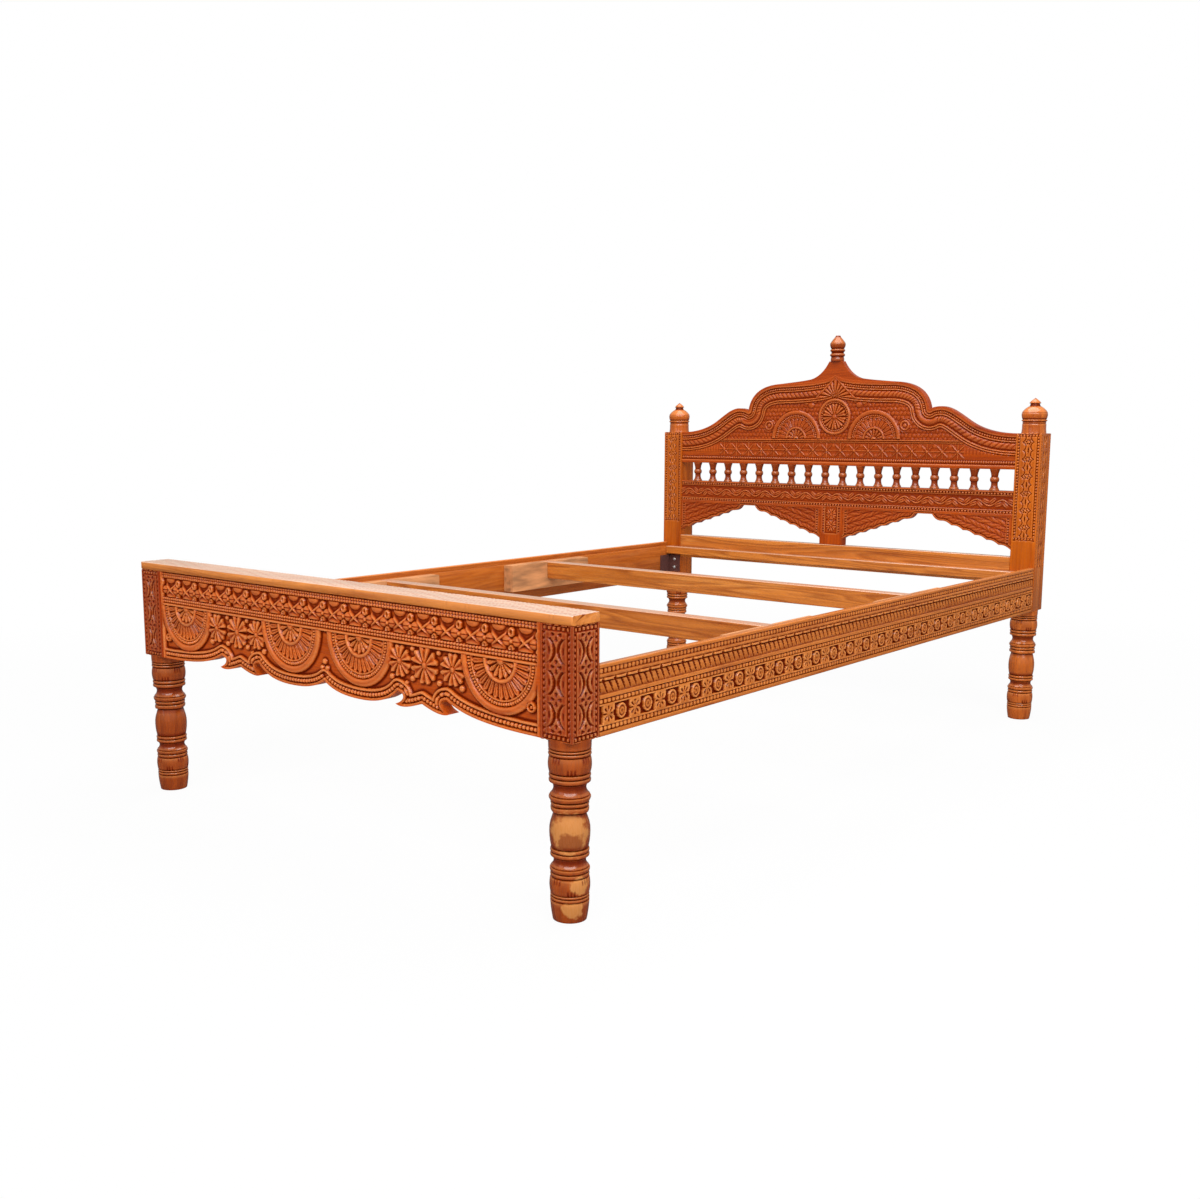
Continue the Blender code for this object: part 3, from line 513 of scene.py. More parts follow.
def round_strip(v, low, high):
    """Half-round moulding between two levels."""
    return dome((2 * v - low - high) / (high - low))


def spot(u, v, half_u, half_v):
    """Oval boss with the given half sizes."""
    return dome(np.hypot(u / half_u, v / half_v))


def repeat(u, pitch):
    """Place within a repeat, from -1 to 1, 0 in its middle."""
    return 2 * (u / pitch - np.floor(u / pitch)) - 1


def offset(u, pitch):
    """Distance from the middle of a repeat."""
    return repeat(u, pitch) * pitch / 2


def round_repeat(u, v, many, phase=0.0):
    """Place across each of many petals round a middle, from -1 to 1."""
    return repeat(np.arctan2(v, u) / math.tau + phase, 1 / many)


def turned_to(u, v, angle):
    """Distances along and across a line at an angle."""
    return u * np.cos(angle) + v * np.sin(angle), v * np.cos(angle) - u * np.sin(angle)


def beads(u, v, pitch, low, high, square=2.4):
    """Row of beads between two levels: a rounded box in each repeat, with a gap to the next."""
    across = (2 * v - low - high) / (high - low)
    along = repeat(u, pitch) / 0.88
    return np.sqrt(np.clip(1 - np.abs(along) ** square - np.abs(across) ** square, 0, 1))


def lay(ground, shape, foot, top):
    """Ground with a shape laid on it from foot to top; what lies lower is covered."""
    return np.where(shape > 0, np.maximum(ground, foot + (top - foot) * shape), ground)


def cut(ground, shape, floor):
    """Ground with a shape cut into it, down to floor where the shape is 1."""
    return np.minimum(ground, 1 - (1 - floor) * shape)


def soften(values, reach):
    """Mean over the cells round each place: a running mean along both ways, taken twice."""
    for axis, cells in enumerate(reach):
        for _ in range(2):
            sides = [(0, 0), (0, 0)]
            sides[axis] = (cells + 1, cells)
            total = np.cumsum(np.pad(values, sides, mode="edge"), axis)
            many = 2 * cells + 1
            ahead = np.take(total, range(many, total.shape[axis]), axis)
            values = (ahead - np.take(total, range(total.shape[axis] - many), axis)) / many
    return values


def tone(height, deep, steps, by_depth):
    """Tone of carving: 0.5 where it is level with its surroundings, less in cuts and more on crowns.

    A share by depth alone darkens the whole of a cut that is wide. In the finish a low tone becomes painted
    shade and a high tone a painted highlight.
    """
    reach = [max(1, round(TONE_REACH / step)) for step in steps]
    rise = deep * (height - soften(height, reach))
    return np.clip(0.5 + rise / TONE_RANGE - by_depth * (1 - height), 0, 1)


def leaves(u, v, pitch, turn):
    """Ground of split leaves in staggered rows, each turned by the angle that turn gives for its middle."""
    row = np.floor(v / pitch)
    odd = 0.5 * np.mod(row, 2)
    middle_u = (np.floor(u / pitch + odd) + 0.5 - odd) * pitch
    middle_v = (row + 0.5) * pitch
    along, across = turned_to(u - middle_u, v - middle_v, turn(middle_u, middle_v))
    return spot(along, across, 0.58 * pitch, 0.33 * pitch) * (1 - 0.55 * dome(across / (0.09 * pitch)))


def split_petal(across, wide, depth, split, whole):
    """Half-round petal, with a groove along its middle except where it is whole."""
    return dome(across / wide) * (1 - depth * dome(across / split) * ~whole)


def fan(du, dv, radius, petals, hearts):
    """Half-round fan below dv = 0, by share r of the radius and turn round the half circle.

    From the outside in: plain rim, ring of beads, thin ring, long split petals with round ends, plain ring,
    short petals that widen outward, and a heart.
    """
    r = np.hypot(du, dv) / radius
    turn = np.arctan2(-dv, du) / math.pi
    height = lay(np.zeros_like(r), round_strip(r, *FAN_RIM), 0.40, 1.0)
    height = lay(height, beads(turn, r, 1 / (FAN_BEADS_PER_PETAL * petals), *FAN_BEADS), 0.20, 0.85)
    middle, half = FAN_THIN_RING
    height = lay(height, dome((r - middle) / half), 0.30, 0.70)
    inner, start, end = FAN_LONG_PETALS
    along = np.clip((r - start) / (end - start), 0, 1)
    wide = 0.90 * dome(np.clip((along - 0.70) / 0.30, 0, 1)) + 0.02
    petal = split_petal(repeat(turn, 1 / petals), wide, 0.45, 0.24, along >= 0.86)
    height = lay(height, petal * (r > inner) * (r < end), 0.12, 0.86 - 0.24 * along)
    middle, half = FAN_RING
    height = lay(height, dome((r - middle) / half), 0.40, 1.0)
    start, end, outer = FAN_SHORT_PETALS
    along = np.clip((r - start) / (end - start), 0, 1)
    wide = (0.30 + 0.62 * along) * dome(np.clip((along - 0.66) / 0.34, 0, 1)) + 0.02
    petal = split_petal(repeat(turn, 1 / hearts), wide, 0.40, 0.20, along >= 0.8)
    height = lay(height, petal * (r < outer), 0.15, 0.82)
    return np.where((r <= FAN_RIM[1]) & (dv <= 0), lay(height, dome(r / FAN_HEART), 0.5, 0.95), 0)


def flower(du, dv, radius, petals):
    """Round flower of split petals, by share r of the radius and place across each petal.

    Two lobes follow the sine of the place across a petal, so the split and the gaps between petals stay low,
    and the edge reaches further out where the lobes are high. A ball sits in the middle.
    """
    r = np.hypot(du, dv) / radius
    across = round_repeat(du, dv, petals)
    lobe = np.abs(np.sin(math.pi * across)) ** 0.7
    edge = 0.70 + 0.30 * np.where(np.abs(across) < 0.5, np.maximum(lobe, 0.50), lobe)
    gap = np.clip((1 - np.abs(across)) / 0.32 - 0.10, 0, 1)
    split = np.where(np.abs(across) < 0.5, np.maximum(lobe, 0.58), lobe)
    height = np.where(r < edge, gap * (0.34 + 0.60 * split * dome((r / edge - 0.62) / 0.62)), 0)
    return lay(height, dome(r / 0.19), 0.45, 1.0)


def lattice(x, z):
    """Frieze of crossed ridges with a four-part flower in each diamond.

    Ridges are tents over two slanted lines through each crossing, and they fade to both ends. In the diamonds
    two oval leaves lie beside a ball and two small loops stand above and below it. Half-round humps lie above
    and below each crossing.
    """
    cross = offset(x, LATTICE_PITCH)
    middle = offset(x + LATTICE_PITCH / 2, LATTICE_PITCH)
    rise = z - LATTICE_CROSS
    height = np.full(x.shape, 0.05)
    for level, wide in zip(FRIEZE_BAND, LATTICE_HUMPS):
        height = lay(height, spot(cross, z - level, wide, LATTICE_HUMP_TALL), 0.10, 0.80)
    out, half, tall = LATTICE_LEAF
    for side in (-1, 1):
        leaf = spot(middle - side * out, rise - 0.0004, half, tall)
        height = lay(height, leaf * (1 - 0.35 * dome(rise / 0.0016)), 0.15, 0.92)
    for level, half, tall in LATTICE_LOOPS:
        loop = np.hypot(middle / half, (rise - level) / tall)
        height = lay(height, dome((loop - 0.70) / 0.30), 0.20, 0.95)
    height = lay(height, spot(middle, rise, LATTICE_BALL, LATTICE_BALL), 0.4, 1.0)
    for lean in (-LATTICE_SLOPE, LATTICE_SLOPE):
        off = np.abs(rise - lean * cross) / math.hypot(1, lean)
        ridge = np.clip(1.25 - off / 0.0034, 0, 1) * dome(cross / LATTICE_REACH)
        height = lay(height, ridge, 0.10, 1.0)
    return height


def border(rim, along):
    """Border that follows an outline: plain edge, beads between grooves, then a half-round fillet."""
    height = np.full(rim.shape, 0.15)
    height = lay(height, strip(rim, -ARRIS, BORDER_EDGE), 0.15, 0.80)
    height = lay(height, beads(along, rim, BORDER_BEAD_PITCH, *BORDER_BEADS), 0.15, 0.98)
    return lay(height, round_strip(rim, *BORDER_FILLET), 0.25, 1.0)


def panel_relief(x, z, rim, along):
    """Foot panel: frieze between beads, a fillet, then fans, flowers and balls inside the border."""
    x = np.abs(x)
    height = np.zeros_like(x)
    for centre in FAN_CENTRES:
        height = np.maximum(height, fan(x - centre, z - FAN_LEVEL, FAN_RADIUS, FAN_PETALS, FAN_HEARTS))
    for centre, level, radius in FLOWERS:
        height = np.maximum(height, flower(x - centre, z - level, radius, 6))
    for centre, level, radius in BALLS:
        height = lay(height, spot(x - centre, z - level, radius, radius), 0.2, 0.9)
    ring = np.hypot(x - BUTTON[0], z - BUTTON[1]) / BUTTON[2]
    height = np.where(ring < 1, np.maximum(dome((ring - 0.78) / 0.22), 0.8 * dome(ring / 0.42)), height)
    height = np.where(rim < BORDER_FILLET[1], np.where(z < FAN_LEVEL, border(rim, along), height), height)
    height = np.where(z > PANEL_FILLET[0], 0.25, height)
    height = lay(height, round_strip(z, *PANEL_FILLET), 0.4, 0.95)
    for low, middle, high in (LOW_BEADS, TOP_BEADS):
        for foot, top in ((low, middle), (middle, high)):
            height = lay(height, beads(x, z, PANEL_BEAD_PITCH, foot, top, 3.5), 0.2, 0.85)
    height = np.where((z > FRIEZE_BAND[0]) & (z < FRIEZE_BAND[1]), lattice(x, z), height)
    height = lay(height, strip(z, TOP_BEADS[2], 1.0), 0.3, 0.9)
    return lay(height, strip(x, END_FILLET, 1.0), 0.2, 1.0)


def crescents(u, z):
    """Chain of back-to-back crescent cuts with a small four-petal flower between each pair.

    A crescent is the band about a circle whose middle lies out to the side, and it thins to its ends.
    """
    rise = offset(z, CRESCENT_PITCH)
    between = offset(z + CRESCENT_PITCH / 2, CRESCENT_PITCH)
    height = np.ones_like(u)
    for side in (-1, 1):
        off = np.abs(np.hypot(side * u + CRESCENT_OUT, rise) - CRESCENT_RADIUS)
        thick = CRESCENT_THICK * (1 - (rise / CRESCENT_RADIUS) ** 2)
        height = cut(height, np.clip((thick - off) / 0.0010, 0, 1) * (side * u < 0.004), 0.0)
    r = np.hypot(u, between)
    petal = round_repeat(u, between, 4, 0.125)
    height = cut(height, dome(petal / 0.45) * strip(r, *BLOOM_PETALS, 0.002), 0.25)
    height = cut(height, dome((r - BLOOM_RING) / 0.0020) * (np.abs(petal) > 0.55), 0.45)
    out, half, tall = CRESCENT_SEED
    for side in (-1, 1):
        height = cut(height, spot(u - side * out, rise, half, tall), 0.5)
    return height


def post_relief(u, z, low, high):
    """Face of a foot post: beads by each edge, a row of dentils at each end and a chain of cuts between."""
    out = np.abs(u)
    chain = crescents(u, z - (low + high) / 2 + CRESCENT_PITCH / 2)
    height = np.where(out < POST_COLUMN[0] - 0.002, chain, 1.0)
    height = cut(height, strip(out, POST_COLUMN[0] - 0.0012, POST_COLUMN[1] + 0.0008), 0.30)
    height = lay(height, beads(z - low, out, POST_BEAD_PITCH, *POST_COLUMN), 0.30, 0.95)
    end = np.minimum(z - low, high - z)
    row = strip(end, ARRIS, ARRIS + POST_DENTIL) * strip(out, -1, POST_COLUMN[1])
    height = np.where(row > 0, 1 - 0.75 * row, height)
    across = np.abs(repeat(u, POST_DENTIL_PITCH))
    teeth = strip(across, -1, 0.62, 0.2) * strip(end, 0.003, POST_DENTIL, 0.001)
    return np.where((row > 0) & (out < POST_COLUMN[1]), np.maximum(height, 0.25 + 0.7 * teeth), height)


def floral_chain(u, z):
    """Middle of a head post's front: small round flowers with bent leaves to both sides, cut into it."""
    rise = offset(z, CHAIN_PITCH)
    height = np.ones_like(u)
    r = np.hypot(u, rise)
    petal = round_repeat(u, rise, 6, 0.1)
    height = cut(height, dome(petal / 0.7) * strip(r, *CHAIN_PETALS, 0.002), 0.35)
    out, radius = CHAIN_LEAF
    for side in (-1, 1):
        bend = np.abs(np.hypot(u - side * out, np.abs(rise) - radius) - radius)
        leaf = np.clip((0.0017 - bend) / 0.001, 0, 1) * (np.abs(u) < 0.0165) * (r > CHAIN_PETALS[1])
        height = cut(height, leaf, 0.50)
    return cut(height, spot(u, np.abs(rise) - 0.0215, 0.0016, 0.0070), 0.1)


def head_front_relief(u, z, low, high):
    """Front of a head post: beads by both edges and at both ends of the carved length, flowers between."""
    out = np.abs(u)
    height = np.where(out < POST_COLUMN[0] - 0.002, floral_chain(u, z - high), 1.0)
    height = cut(height, strip(out, POST_COLUMN[0] - 0.0010, POST_COLUMN[1] + 0.0008), 0.35)
    height = lay(height, beads(z - high, out, CHAIN_BEAD_PITCH, *POST_COLUMN), 0.35, 0.95)
    end = np.minimum(z - low, high - z)
    row = strip(end, 0.0020, 0.0100) * (out < POST_COLUMN[1])
    beaded = np.maximum(1 - 0.65 * row, 0.35 + 0.6 * beads(u, end, CHAIN_END_PITCH, *CHAIN_END_BEADS))
    height = np.where(row > 0, beaded, height)
    return np.where(z < low, 1.0, height)


def head_side_relief(u, z, low, high):
    """Outer side of a head post: a column of slanted leaf cuts between two grooves."""
    rise = offset(z, SLANT_PITCH)
    height = np.ones_like(u)
    for side in (-1, 1):
        off = np.abs(side * (u + 0.003) - 0.0045 - 0.25 * np.abs(rise))
        height = cut(height, dome(off / SLANT_CUT[0]) * dome(rise / SLANT_CUT[1]), 0.0)
    height = cut(height, round_strip(np.abs(u), *SLANT_GROOVE), 0.3)
    height = cut(height, beads(z, np.abs(u), SLANT_BEAD_PITCH, *SLANT_BEADS), 0.4)
    return np.where((z <= low) | (z > high - 0.004), 1.0, height)


def rail_relief(u, z):
    """Side rail by bands of height: rows of beads, bars with slanted flutes, and ovals in square pits.

    A flute is half-round across, thins downward by the square root of what is left of its drop, and leans and
    bends with the drop. A star of eight slits lies between the pits.
    """
    length = RAIL_HIGH.y - RAIL_LOW.y
    height = np.full(u.shape, 0.92)
    for low, high in RAIL_BEADS:
        height = cut(height, strip(z, low - 0.0008, high + 0.0008), 0.25)
        height = lay(height, beads(u, z, length / RAIL_BEAD_COUNT, low, high, 4), 0.25, 0.90)
    step = length / RAIL_BAR_COUNT
    bar = repeat(u - RAIL_BAR_START, step)
    height = cut(height, strip(z, RAIL_FLUTES[0], RAIL_BARS[1] + 0.0022), 0.70)
    height = lay(height, strip(z, *RAIL_BARS) * strip(bar, -0.86, 0.86, 0.08), 0.30, 1.0)
    height = cut(height, strip(z, RAIL_BARS[0] - 0.0026, RAIL_BARS[0], 0.0006), 0.15)
    gap = strip(z, RAIL_BARS[0] - 0.0014, RAIL_BARS[1] + 0.0018) * strip(np.abs(bar), 0.87, 2.0, 0.05)
    height = cut(height, gap, 0.0)
    drop = RAIL_FLUTES[1] - z
    lean = u - RAIL_BAR_START - RAIL_FLUTE_LEAN * drop + RAIL_FLUTE_BEND * drop * drop
    for start, low, high, thick in RAIL_CUTS:
        place = offset(lean + step * (0.5 - start), step)
        taper = np.clip((high - drop) / (high - low), 0, 1) ** 0.5
        height = cut(height, dome(place / (thick * taper + 0.0001)) * (drop > low) * (drop < high), 0.0)
    pitch = length * (RAIL_MOTIF_ENDS[1] - RAIL_MOTIF_ENDS[0]) / (RAIL_MOTIFS - 1)
    from_first = u - length * RAIL_MOTIF_ENDS[0]
    middle = offset(from_first + pitch / 2, pitch)
    rise = z - RAIL_MOTIF_LEVEL
    reach = RAIL_PIT[0] - 0.0022 * (np.abs(rise) > 0.0045)
    pit = np.clip((reach - np.abs(middle)) / 0.0008, 0, 1) * strip(np.abs(rise), -1, RAIL_PIT[1], 0.0008)
    oval = np.hypot(middle / RAIL_OVAL[0], rise / RAIL_OVAL[1])
    rings = 1 - 0.30 * dome((oval - 0.60) / 0.14) - 0.22 * dome(oval / 0.24)
    disc = np.clip((1.06 - oval) / 0.12, 0, 1) * rings
    height = np.where(pit > 0, np.maximum(height * (1 - pit), 0.95 * disc), height)
    leaf = offset(from_first, pitch)
    slit = round_repeat(leaf, rise, 8, 0.0625)
    star = dome(slit / 0.50) * strip(np.hypot(leaf, rise), *RAIL_STAR, 0.003) * (np.abs(leaf) < RAIL_STAR[1])
    return cut(height, star, 0.35)


def crest_field(x, z):
    """Field of the crest: leaves for a ground, two fans, a rosette in a ring of beads, buds and curls."""
    side = np.abs(x)

    def spread(u, v):
        return np.arctan2(v - CREST_FANS[1] + 0.02, u - CREST_FANS[0]) + 0.7 + 1.1 * np.sin(310 * u + 530 * v)

    height = lay(np.full(x.shape, 0.10), leaves(side, z, CREST_LEAF_PITCH, spread), 0.16, 0.40)
    height = np.maximum(height, fan(side - CREST_FANS[0], CREST_FANS[1] - z, CREST_FANS[2], 13, 7))
    ring = np.hypot(x - ROSETTE[0], z - ROSETTE[1]) / ROSETTE[2]
    bloom = flower(x, z - ROSETTE[1], 0.72 * ROSETTE[2], 10)
    bloom = lay(bloom, dome((ring - 0.92) / 0.08), 0.4, 1.0)
    turn = np.arctan2(z - ROSETTE[1], x) / math.tau
    bloom = lay(bloom, beads(turn, ring, 1 / 40, 0.74, 0.84), 0.2, 0.8)
    height = np.where(ring < 1, bloom, height)
    for out, level, half, tall in CREST_BUDS:
        height = lay(height, spot(side - out, z - level, half, tall), 0.2, 0.8)
    curl = np.hypot(side - CREST_CURL[0], z - CREST_CURL[1])
    return lay(height, np.where(curl < CREST_CURL[2], 0.5 + 0.5 * np.sin(curl / 0.0016), 0), 0.15, 0.75)


def star_band(side, z):
    """Band of stars with a ball in each and bosses between, leaves by the posts, and two fillets above.

    A star's rays are tents that narrow outward.
    """
    height = np.full(side.shape, 0.42)
    starred = side < STAR_END
    u = offset(side, STAR_PITCH)
    v = z - sum(STAR_BAND) / 2
    r = np.hypot(u, v) / STAR_RADIUS
    ray = np.abs(round_repeat(u, v, 8, 0.0625))
    star = np.clip(1 - ray / np.maximum(1.02 - 0.85 * r, 0.02), 0, 1) * (r < 1.1)
    height = lay(height, star * starred, 0.15, 1.0)
    height = lay(height, spot(u, v, STAR_BALL, STAR_BALL) * starred, 0.5, 1.0)
    between = offset(side + STAR_PITCH / 2, STAR_PITCH)
    height = lay(height, spot(between, np.abs(v) - 2 * STAR_BOSS, STAR_BOSS, STAR_BOSS) * starred, 0.15, 0.7)
    leaf = dome(repeat(side, STAR_LEAF_PITCH) / 0.8)
    height = lay(height, leaf * (side > STAR_END) * dome(v / 0.016), 0.2, 0.6)
    height = np.where(z > STAR_BAND[1], 0.2, height)
    for low, high in STAR_FILLETS:
        height = lay(height, round_strip(z, low, high), 0.3, 0.8)
    return height


def crest_mould(x, rim, along):
    """Mouldings of the crest by distance from the outline: plain edge, beads, fillet, rope and inner fillets.

    Strands of the rope are half-rounds that slant across it, mirrored about the middle.
    """
    height = np.full(x.shape, 0.12)
    height = lay(height, strip(rim, -ARRIS, CREST_EDGE, 0.002), 0.3, 0.95)
    height = lay(height, beads(along, rim, CREST_BEAD_PITCH, *CREST_BEADS), 0.2, 0.80)
    height = lay(height, round_strip(rim, *CREST_FILLET), 0.3, 0.85)
    across = (2 * rim - sum(CREST_ROPE)) / (CREST_ROPE[1] - CREST_ROPE[0])
    slant = along * np.sign(x) + 0.45 * CREST_ROPE_PITCH * across
    strand = dome(repeat(slant, CREST_ROPE_PITCH) / 1.05)
    height = lay(height, dome(across) * (0.20 + 0.80 * strand), 0.10, 1.0)
    for low, high in CREST_INNER:
        height = lay(height, round_strip(rim, low, high), 0.25, 0.80)
    return height


def crest_relief(x, z, rim, along):
    """Crest: field and band of stars inside the mouldings, a palmette over them, and a beaded lip below.

    The palmette's leaves spread from its foot, under a hood with two straight sides.
    """
    side = np.abs(x)
    height = np.where(z < STAR_FILLETS[1][1], star_band(side, z), crest_field(x, z))
    height = np.where(rim < CREST_FIELD, crest_mould(x, rim, along), height)
    foot, half, tall = PALMETTE
    up = z - foot
    hood = 1 - side / half - up / tall
    leaf = dome(round_repeat(up, side, PALMETTE_LEAVES, 0.5 / PALMETTE_LEAVES) / 0.85)
    palm = lay(np.full(x.shape, 0.15), leaf * np.clip(hood / 0.16, 0, 1), 0.2, 0.95)
    palm = lay(palm, dome((hood - 0.05) / 0.06), 0.3, 1.0)
    height = np.where((hood > 0) & (up > 0), palm, height)
    height = np.where(z < CREST_LIP_BEADS[1] + 0.001, 0.25, height)
    height = lay(height, beads(x, z, CREST_LIP_PITCH, *CREST_LIP_BEADS), 0.25, 0.75)
    return lay(height, strip(z, -1, CREST_LIP, 0.002), 0.4, 1.0)


def mid_relief(x, z):
    """Mid rail: beads along both edges, and two rows of slanted split leaves on a bent stem between."""
    side = np.abs(x)
    height = np.full(x.shape, 0.95)
    height = cut(height, strip(z, MID_LEAVES[0] - 0.002, MID_LEAVES[1] + 0.002, 0.002), 0.40)
    for low, high in MID_BEADS:
        height = cut(height, strip(z, low - 0.0008, high + 0.0008), 0.2)
        height = lay(height, beads(x, z, MID_BEAD_PITCH, low, high), 0.1, 0.95)
    rise = z - sum(MID_LEAVES) / 2
    wave = MID_WAVE * np.sin(math.tau * side / MID_LEAF_PITCH)
    height = lay(height, dome((rise - wave) / MID_STEM) * (np.abs(rise) < 0.018), 0.2, 0.85)
    for shift, way in ((0.25, -1), (0.75, 1)):
        u = offset(side - MID_LEAF_PITCH * (shift - 0.5), MID_LEAF_PITCH)
        for lean, out in ((0.75, 0.0085), (-0.35, -0.0100)):
            along, across = turned_to(u - out, way * rise - 0.0045, lean)
            leaf = spot(along, across, *MID_LEAF) * (1 - 0.5 * dome(across / 0.0017))
            height = lay(height, leaf, 0.3, 0.95)
    return height


def arch_relief(x, z, rim, along):
    """Arch panel: a plain edge along the scallops, beads by the upright ends, and rows of slanted leaves.

    The rows follow the scalloped edge, and each leans the other way.
    """
    side = np.abs(x)
    across = repeat(rim - ARCH_EDGE, ARCH_LEAF_ROW)
    lean = np.where(np.mod(np.floor((rim - ARCH_EDGE) / ARCH_LEAF_ROW), 2) > 0, 0.55, -0.55)
    leaf = repeat(along + lean * ARCH_LEAF_ROW * across, ARCH_LEAF_PITCH)
    height = 0.35 + 0.50 * dome(across / 1.02) * (0.35 + 0.65 * dome(leaf))
    end = np.minimum(side - ARCH_LOW.x, ARCH_HIGH.x - side)
    height = np.where(end < ARCH_ENDS, 0.95, height)
    height = cut(height, strip(end, ARCH_END_BEADS[0] - 0.0005, ARCH_END_BEADS[1] + 0.0005), 0.35)
    height = lay(height, beads(z, end, ARCH_BEAD_PITCH, *ARCH_END_BEADS), 0.35, 0.95)
    height = np.where(ARCH_HIGH.z - z < 0.0060, 0.9, height)
    return np.where(rim < ARCH_EDGE, np.where(rim > 0.0050, 0.3, 0.92), height)


def stile_relief(u, z):
    """Centre stile: beads by both edges and small flowers between in its upper part, and a plain foot."""
    height = np.ones_like(u)
    out = np.abs(u)
    height = cut(height, strip(out, STILE_BEADS[0] - 0.0005, STILE_BEADS[1] + 0.0005), 0.35)
    height = lay(height, beads(z, out, STILE_BEAD_PITCH, *STILE_BEADS), 0.35, 0.95)
    height = cut(height, strip(out, -1, STILE_FIELD), 0.55)
    for level in STILE_FLOWERS:
        height = lay(height, flower(u, z - level, STILE_FLOWER, 6) * (out < STILE_FIELD), 0.35, 1.0)
    height = cut(height, spot(out - 0.0155, np.abs(z - sum(STILE_FLOWERS) / 2), 0.0035, 0.0050), 0.1)
    return np.where(z < STILE_CARVED_FROM, 1.0, height)


def stipple(u, v):
    """Shallow pits in staggered rows, each shifted and sized by sines of its row and column."""
    row = np.floor(v / STIPPLE_ROW)
    shift = u + STIPPLE_PITCH / 2 * np.sin(row * 12.9898)
    column = np.floor(shift / STIPPLE_PITCH)
    size = 0.0023 + 0.0008 * np.sin(column * 7.233 + row * 3.71)
    stray = 0.0022 * np.sin(column * 5.117 + row * 2.39)
    return spot(offset(shift, STIPPLE_PITCH), offset(v, STIPPLE_ROW) - stray, size, 1.5 * size)


# Outlines
def curve(start, pulls, end, steps=22):
    """Points after the start of a cubic whose pulls are shares of the run and the rise."""
    start, end = np.array(start), np.array(end)
    first, second = (start + (end - start) * np.array(pull) for pull in pulls)
    t = np.linspace(0, 1, steps + 1)[1:, None]
    return (1 - t) ** 3 * start + 3 * t * (1 - t) ** 2 * first + 3 * t * t * (1 - t) * second + t ** 3 * end


def both_sides(half):
    """Line from its mirror image on the left, through the middle, to the right."""
    return np.concatenate([half[:0:-1] * (-1, 1), half])


def panel_edge():
    """Lower edge of the foot panel: middle cusp, hanging lobe, leaf with two hooked tips, outer lobe."""
    base = LEG_HIGH
    lobe = (BOARD_END * PANEL_LOBE, base + LOBE_LOW)
    middle = np.array((BOARD_END * PANEL_HOOK, base + HOOK_MIDDLE))
    root, leaf = {}, {}
    for way in (-1, 1):
        root[way] = np.array((BOARD_END * (PANEL_HOOK + way * HOOK_ROOT_REACH), base + HOOK_ROOT))
        tip = np.array((BOARD_END * (PANEL_HOOK + way * HOOK_REACH), base + HOOK_TIP))
        drop = (base + HOOK_BELLY - tip[1]) / (middle[1] - tip[1])
        belly = [(share, drop) for share in HOOK_CURL]
        leaf[way] = np.concatenate([curve(root[way], THROAT_PULLS, tip, 14), curve(tip, belly, middle, 14)])
    cusp = np.array([(0.0, base + MIDDLE_CUSP)])
    return both_sides(np.concatenate([
        cusp,
        curve(cusp[0], HANGING_PULLS, lobe),
        curve(lobe, RISING_PULLS, root[-1]),
        leaf[-1],
        leaf[1][-2::-1],
        root[1][None],
        curve(root[1], OUTER_PULLS, (BOARD_END, base + LOBE_LOW), 30),
    ]))


def crest_edge():
    """Upper edge of the crest: spire, ogee, shoulder, notch, side lobe and the sweep down to the post."""
    top = CREST_LOW.z + CREST_AT_POST
    line = np.array([(0.0, top + CREST_RISES["spire"]), (SPIRE_HALF, top + CREST_RISES["spire"])])
    for share, rise, pulls in CREST_WAYS:
        line = np.concatenate([line, curve(line[-1], pulls, (BOARD_END * share, top + CREST_RISES[rise]))])
    line = np.concatenate([line, curve(line[-1], SWEEP_PULLS, (BOARD_END, top))])
    return both_sides(line)


def crest_moulding():
    """Line that the crest's mouldings follow: its upper edge, but with a low cusp in place of the spire."""
    top = CREST_LOW.z + CREST_AT_POST
    cusp = np.array([(0.0, top + CREST_CUSP)])
    shoulder = (BOARD_END * CREST_WAYS[1][0], top + CREST_RISES["shoulder"])
    edge = crest_edge()
    outer = edge[edge[:, 0] > shoulder[0] + 1e-6]
    return both_sides(np.concatenate([cusp, curve(cusp[0], CUSP_PULLS, shoulder), outer]))


def arch_edge():
    """Under edge of the right arch: flat crown, shoulders, and a row of scallops down to each foot.

    Scallops rise from the straight line between shoulder and foot by the size of a sine.
    """
    middle = (ARCH_LOW.x + ARCH_HIGH.x) / 2
    crown = ARCH_HIGH.z - ARCH_CROWN_WEB
    flat = np.array([(0.0, crown), (ARCH_CROWN_HALF, crown)])
    shoulder = np.array((ARCH_CROWN_HALF + ARCH_SHOULDER_RUN, crown - ARCH_SHOULDER_DROP))
    along = np.linspace(0, ARCH_SCALLOPS, ARCH_SCALLOPS * 10 + 1)[1:]
    lift = ARCH_SCALLOP_DEEP * np.abs(np.sin(math.pi * along))
    run = (ARCH_HIGH.x - middle - shoulder[0]) / ARCH_SCALLOPS
    fall = (shoulder[1] - ARCH_LOW.z) / ARCH_SCALLOPS
    scallops = np.stack([shoulder[0] + along * run, shoulder[1] - along * fall + lift], 1)
    half = np.concatenate([flat, curve(flat[1], CROWN_PULLS, shoulder, 10), scallops])
    return both_sides(half) + (middle, 0)


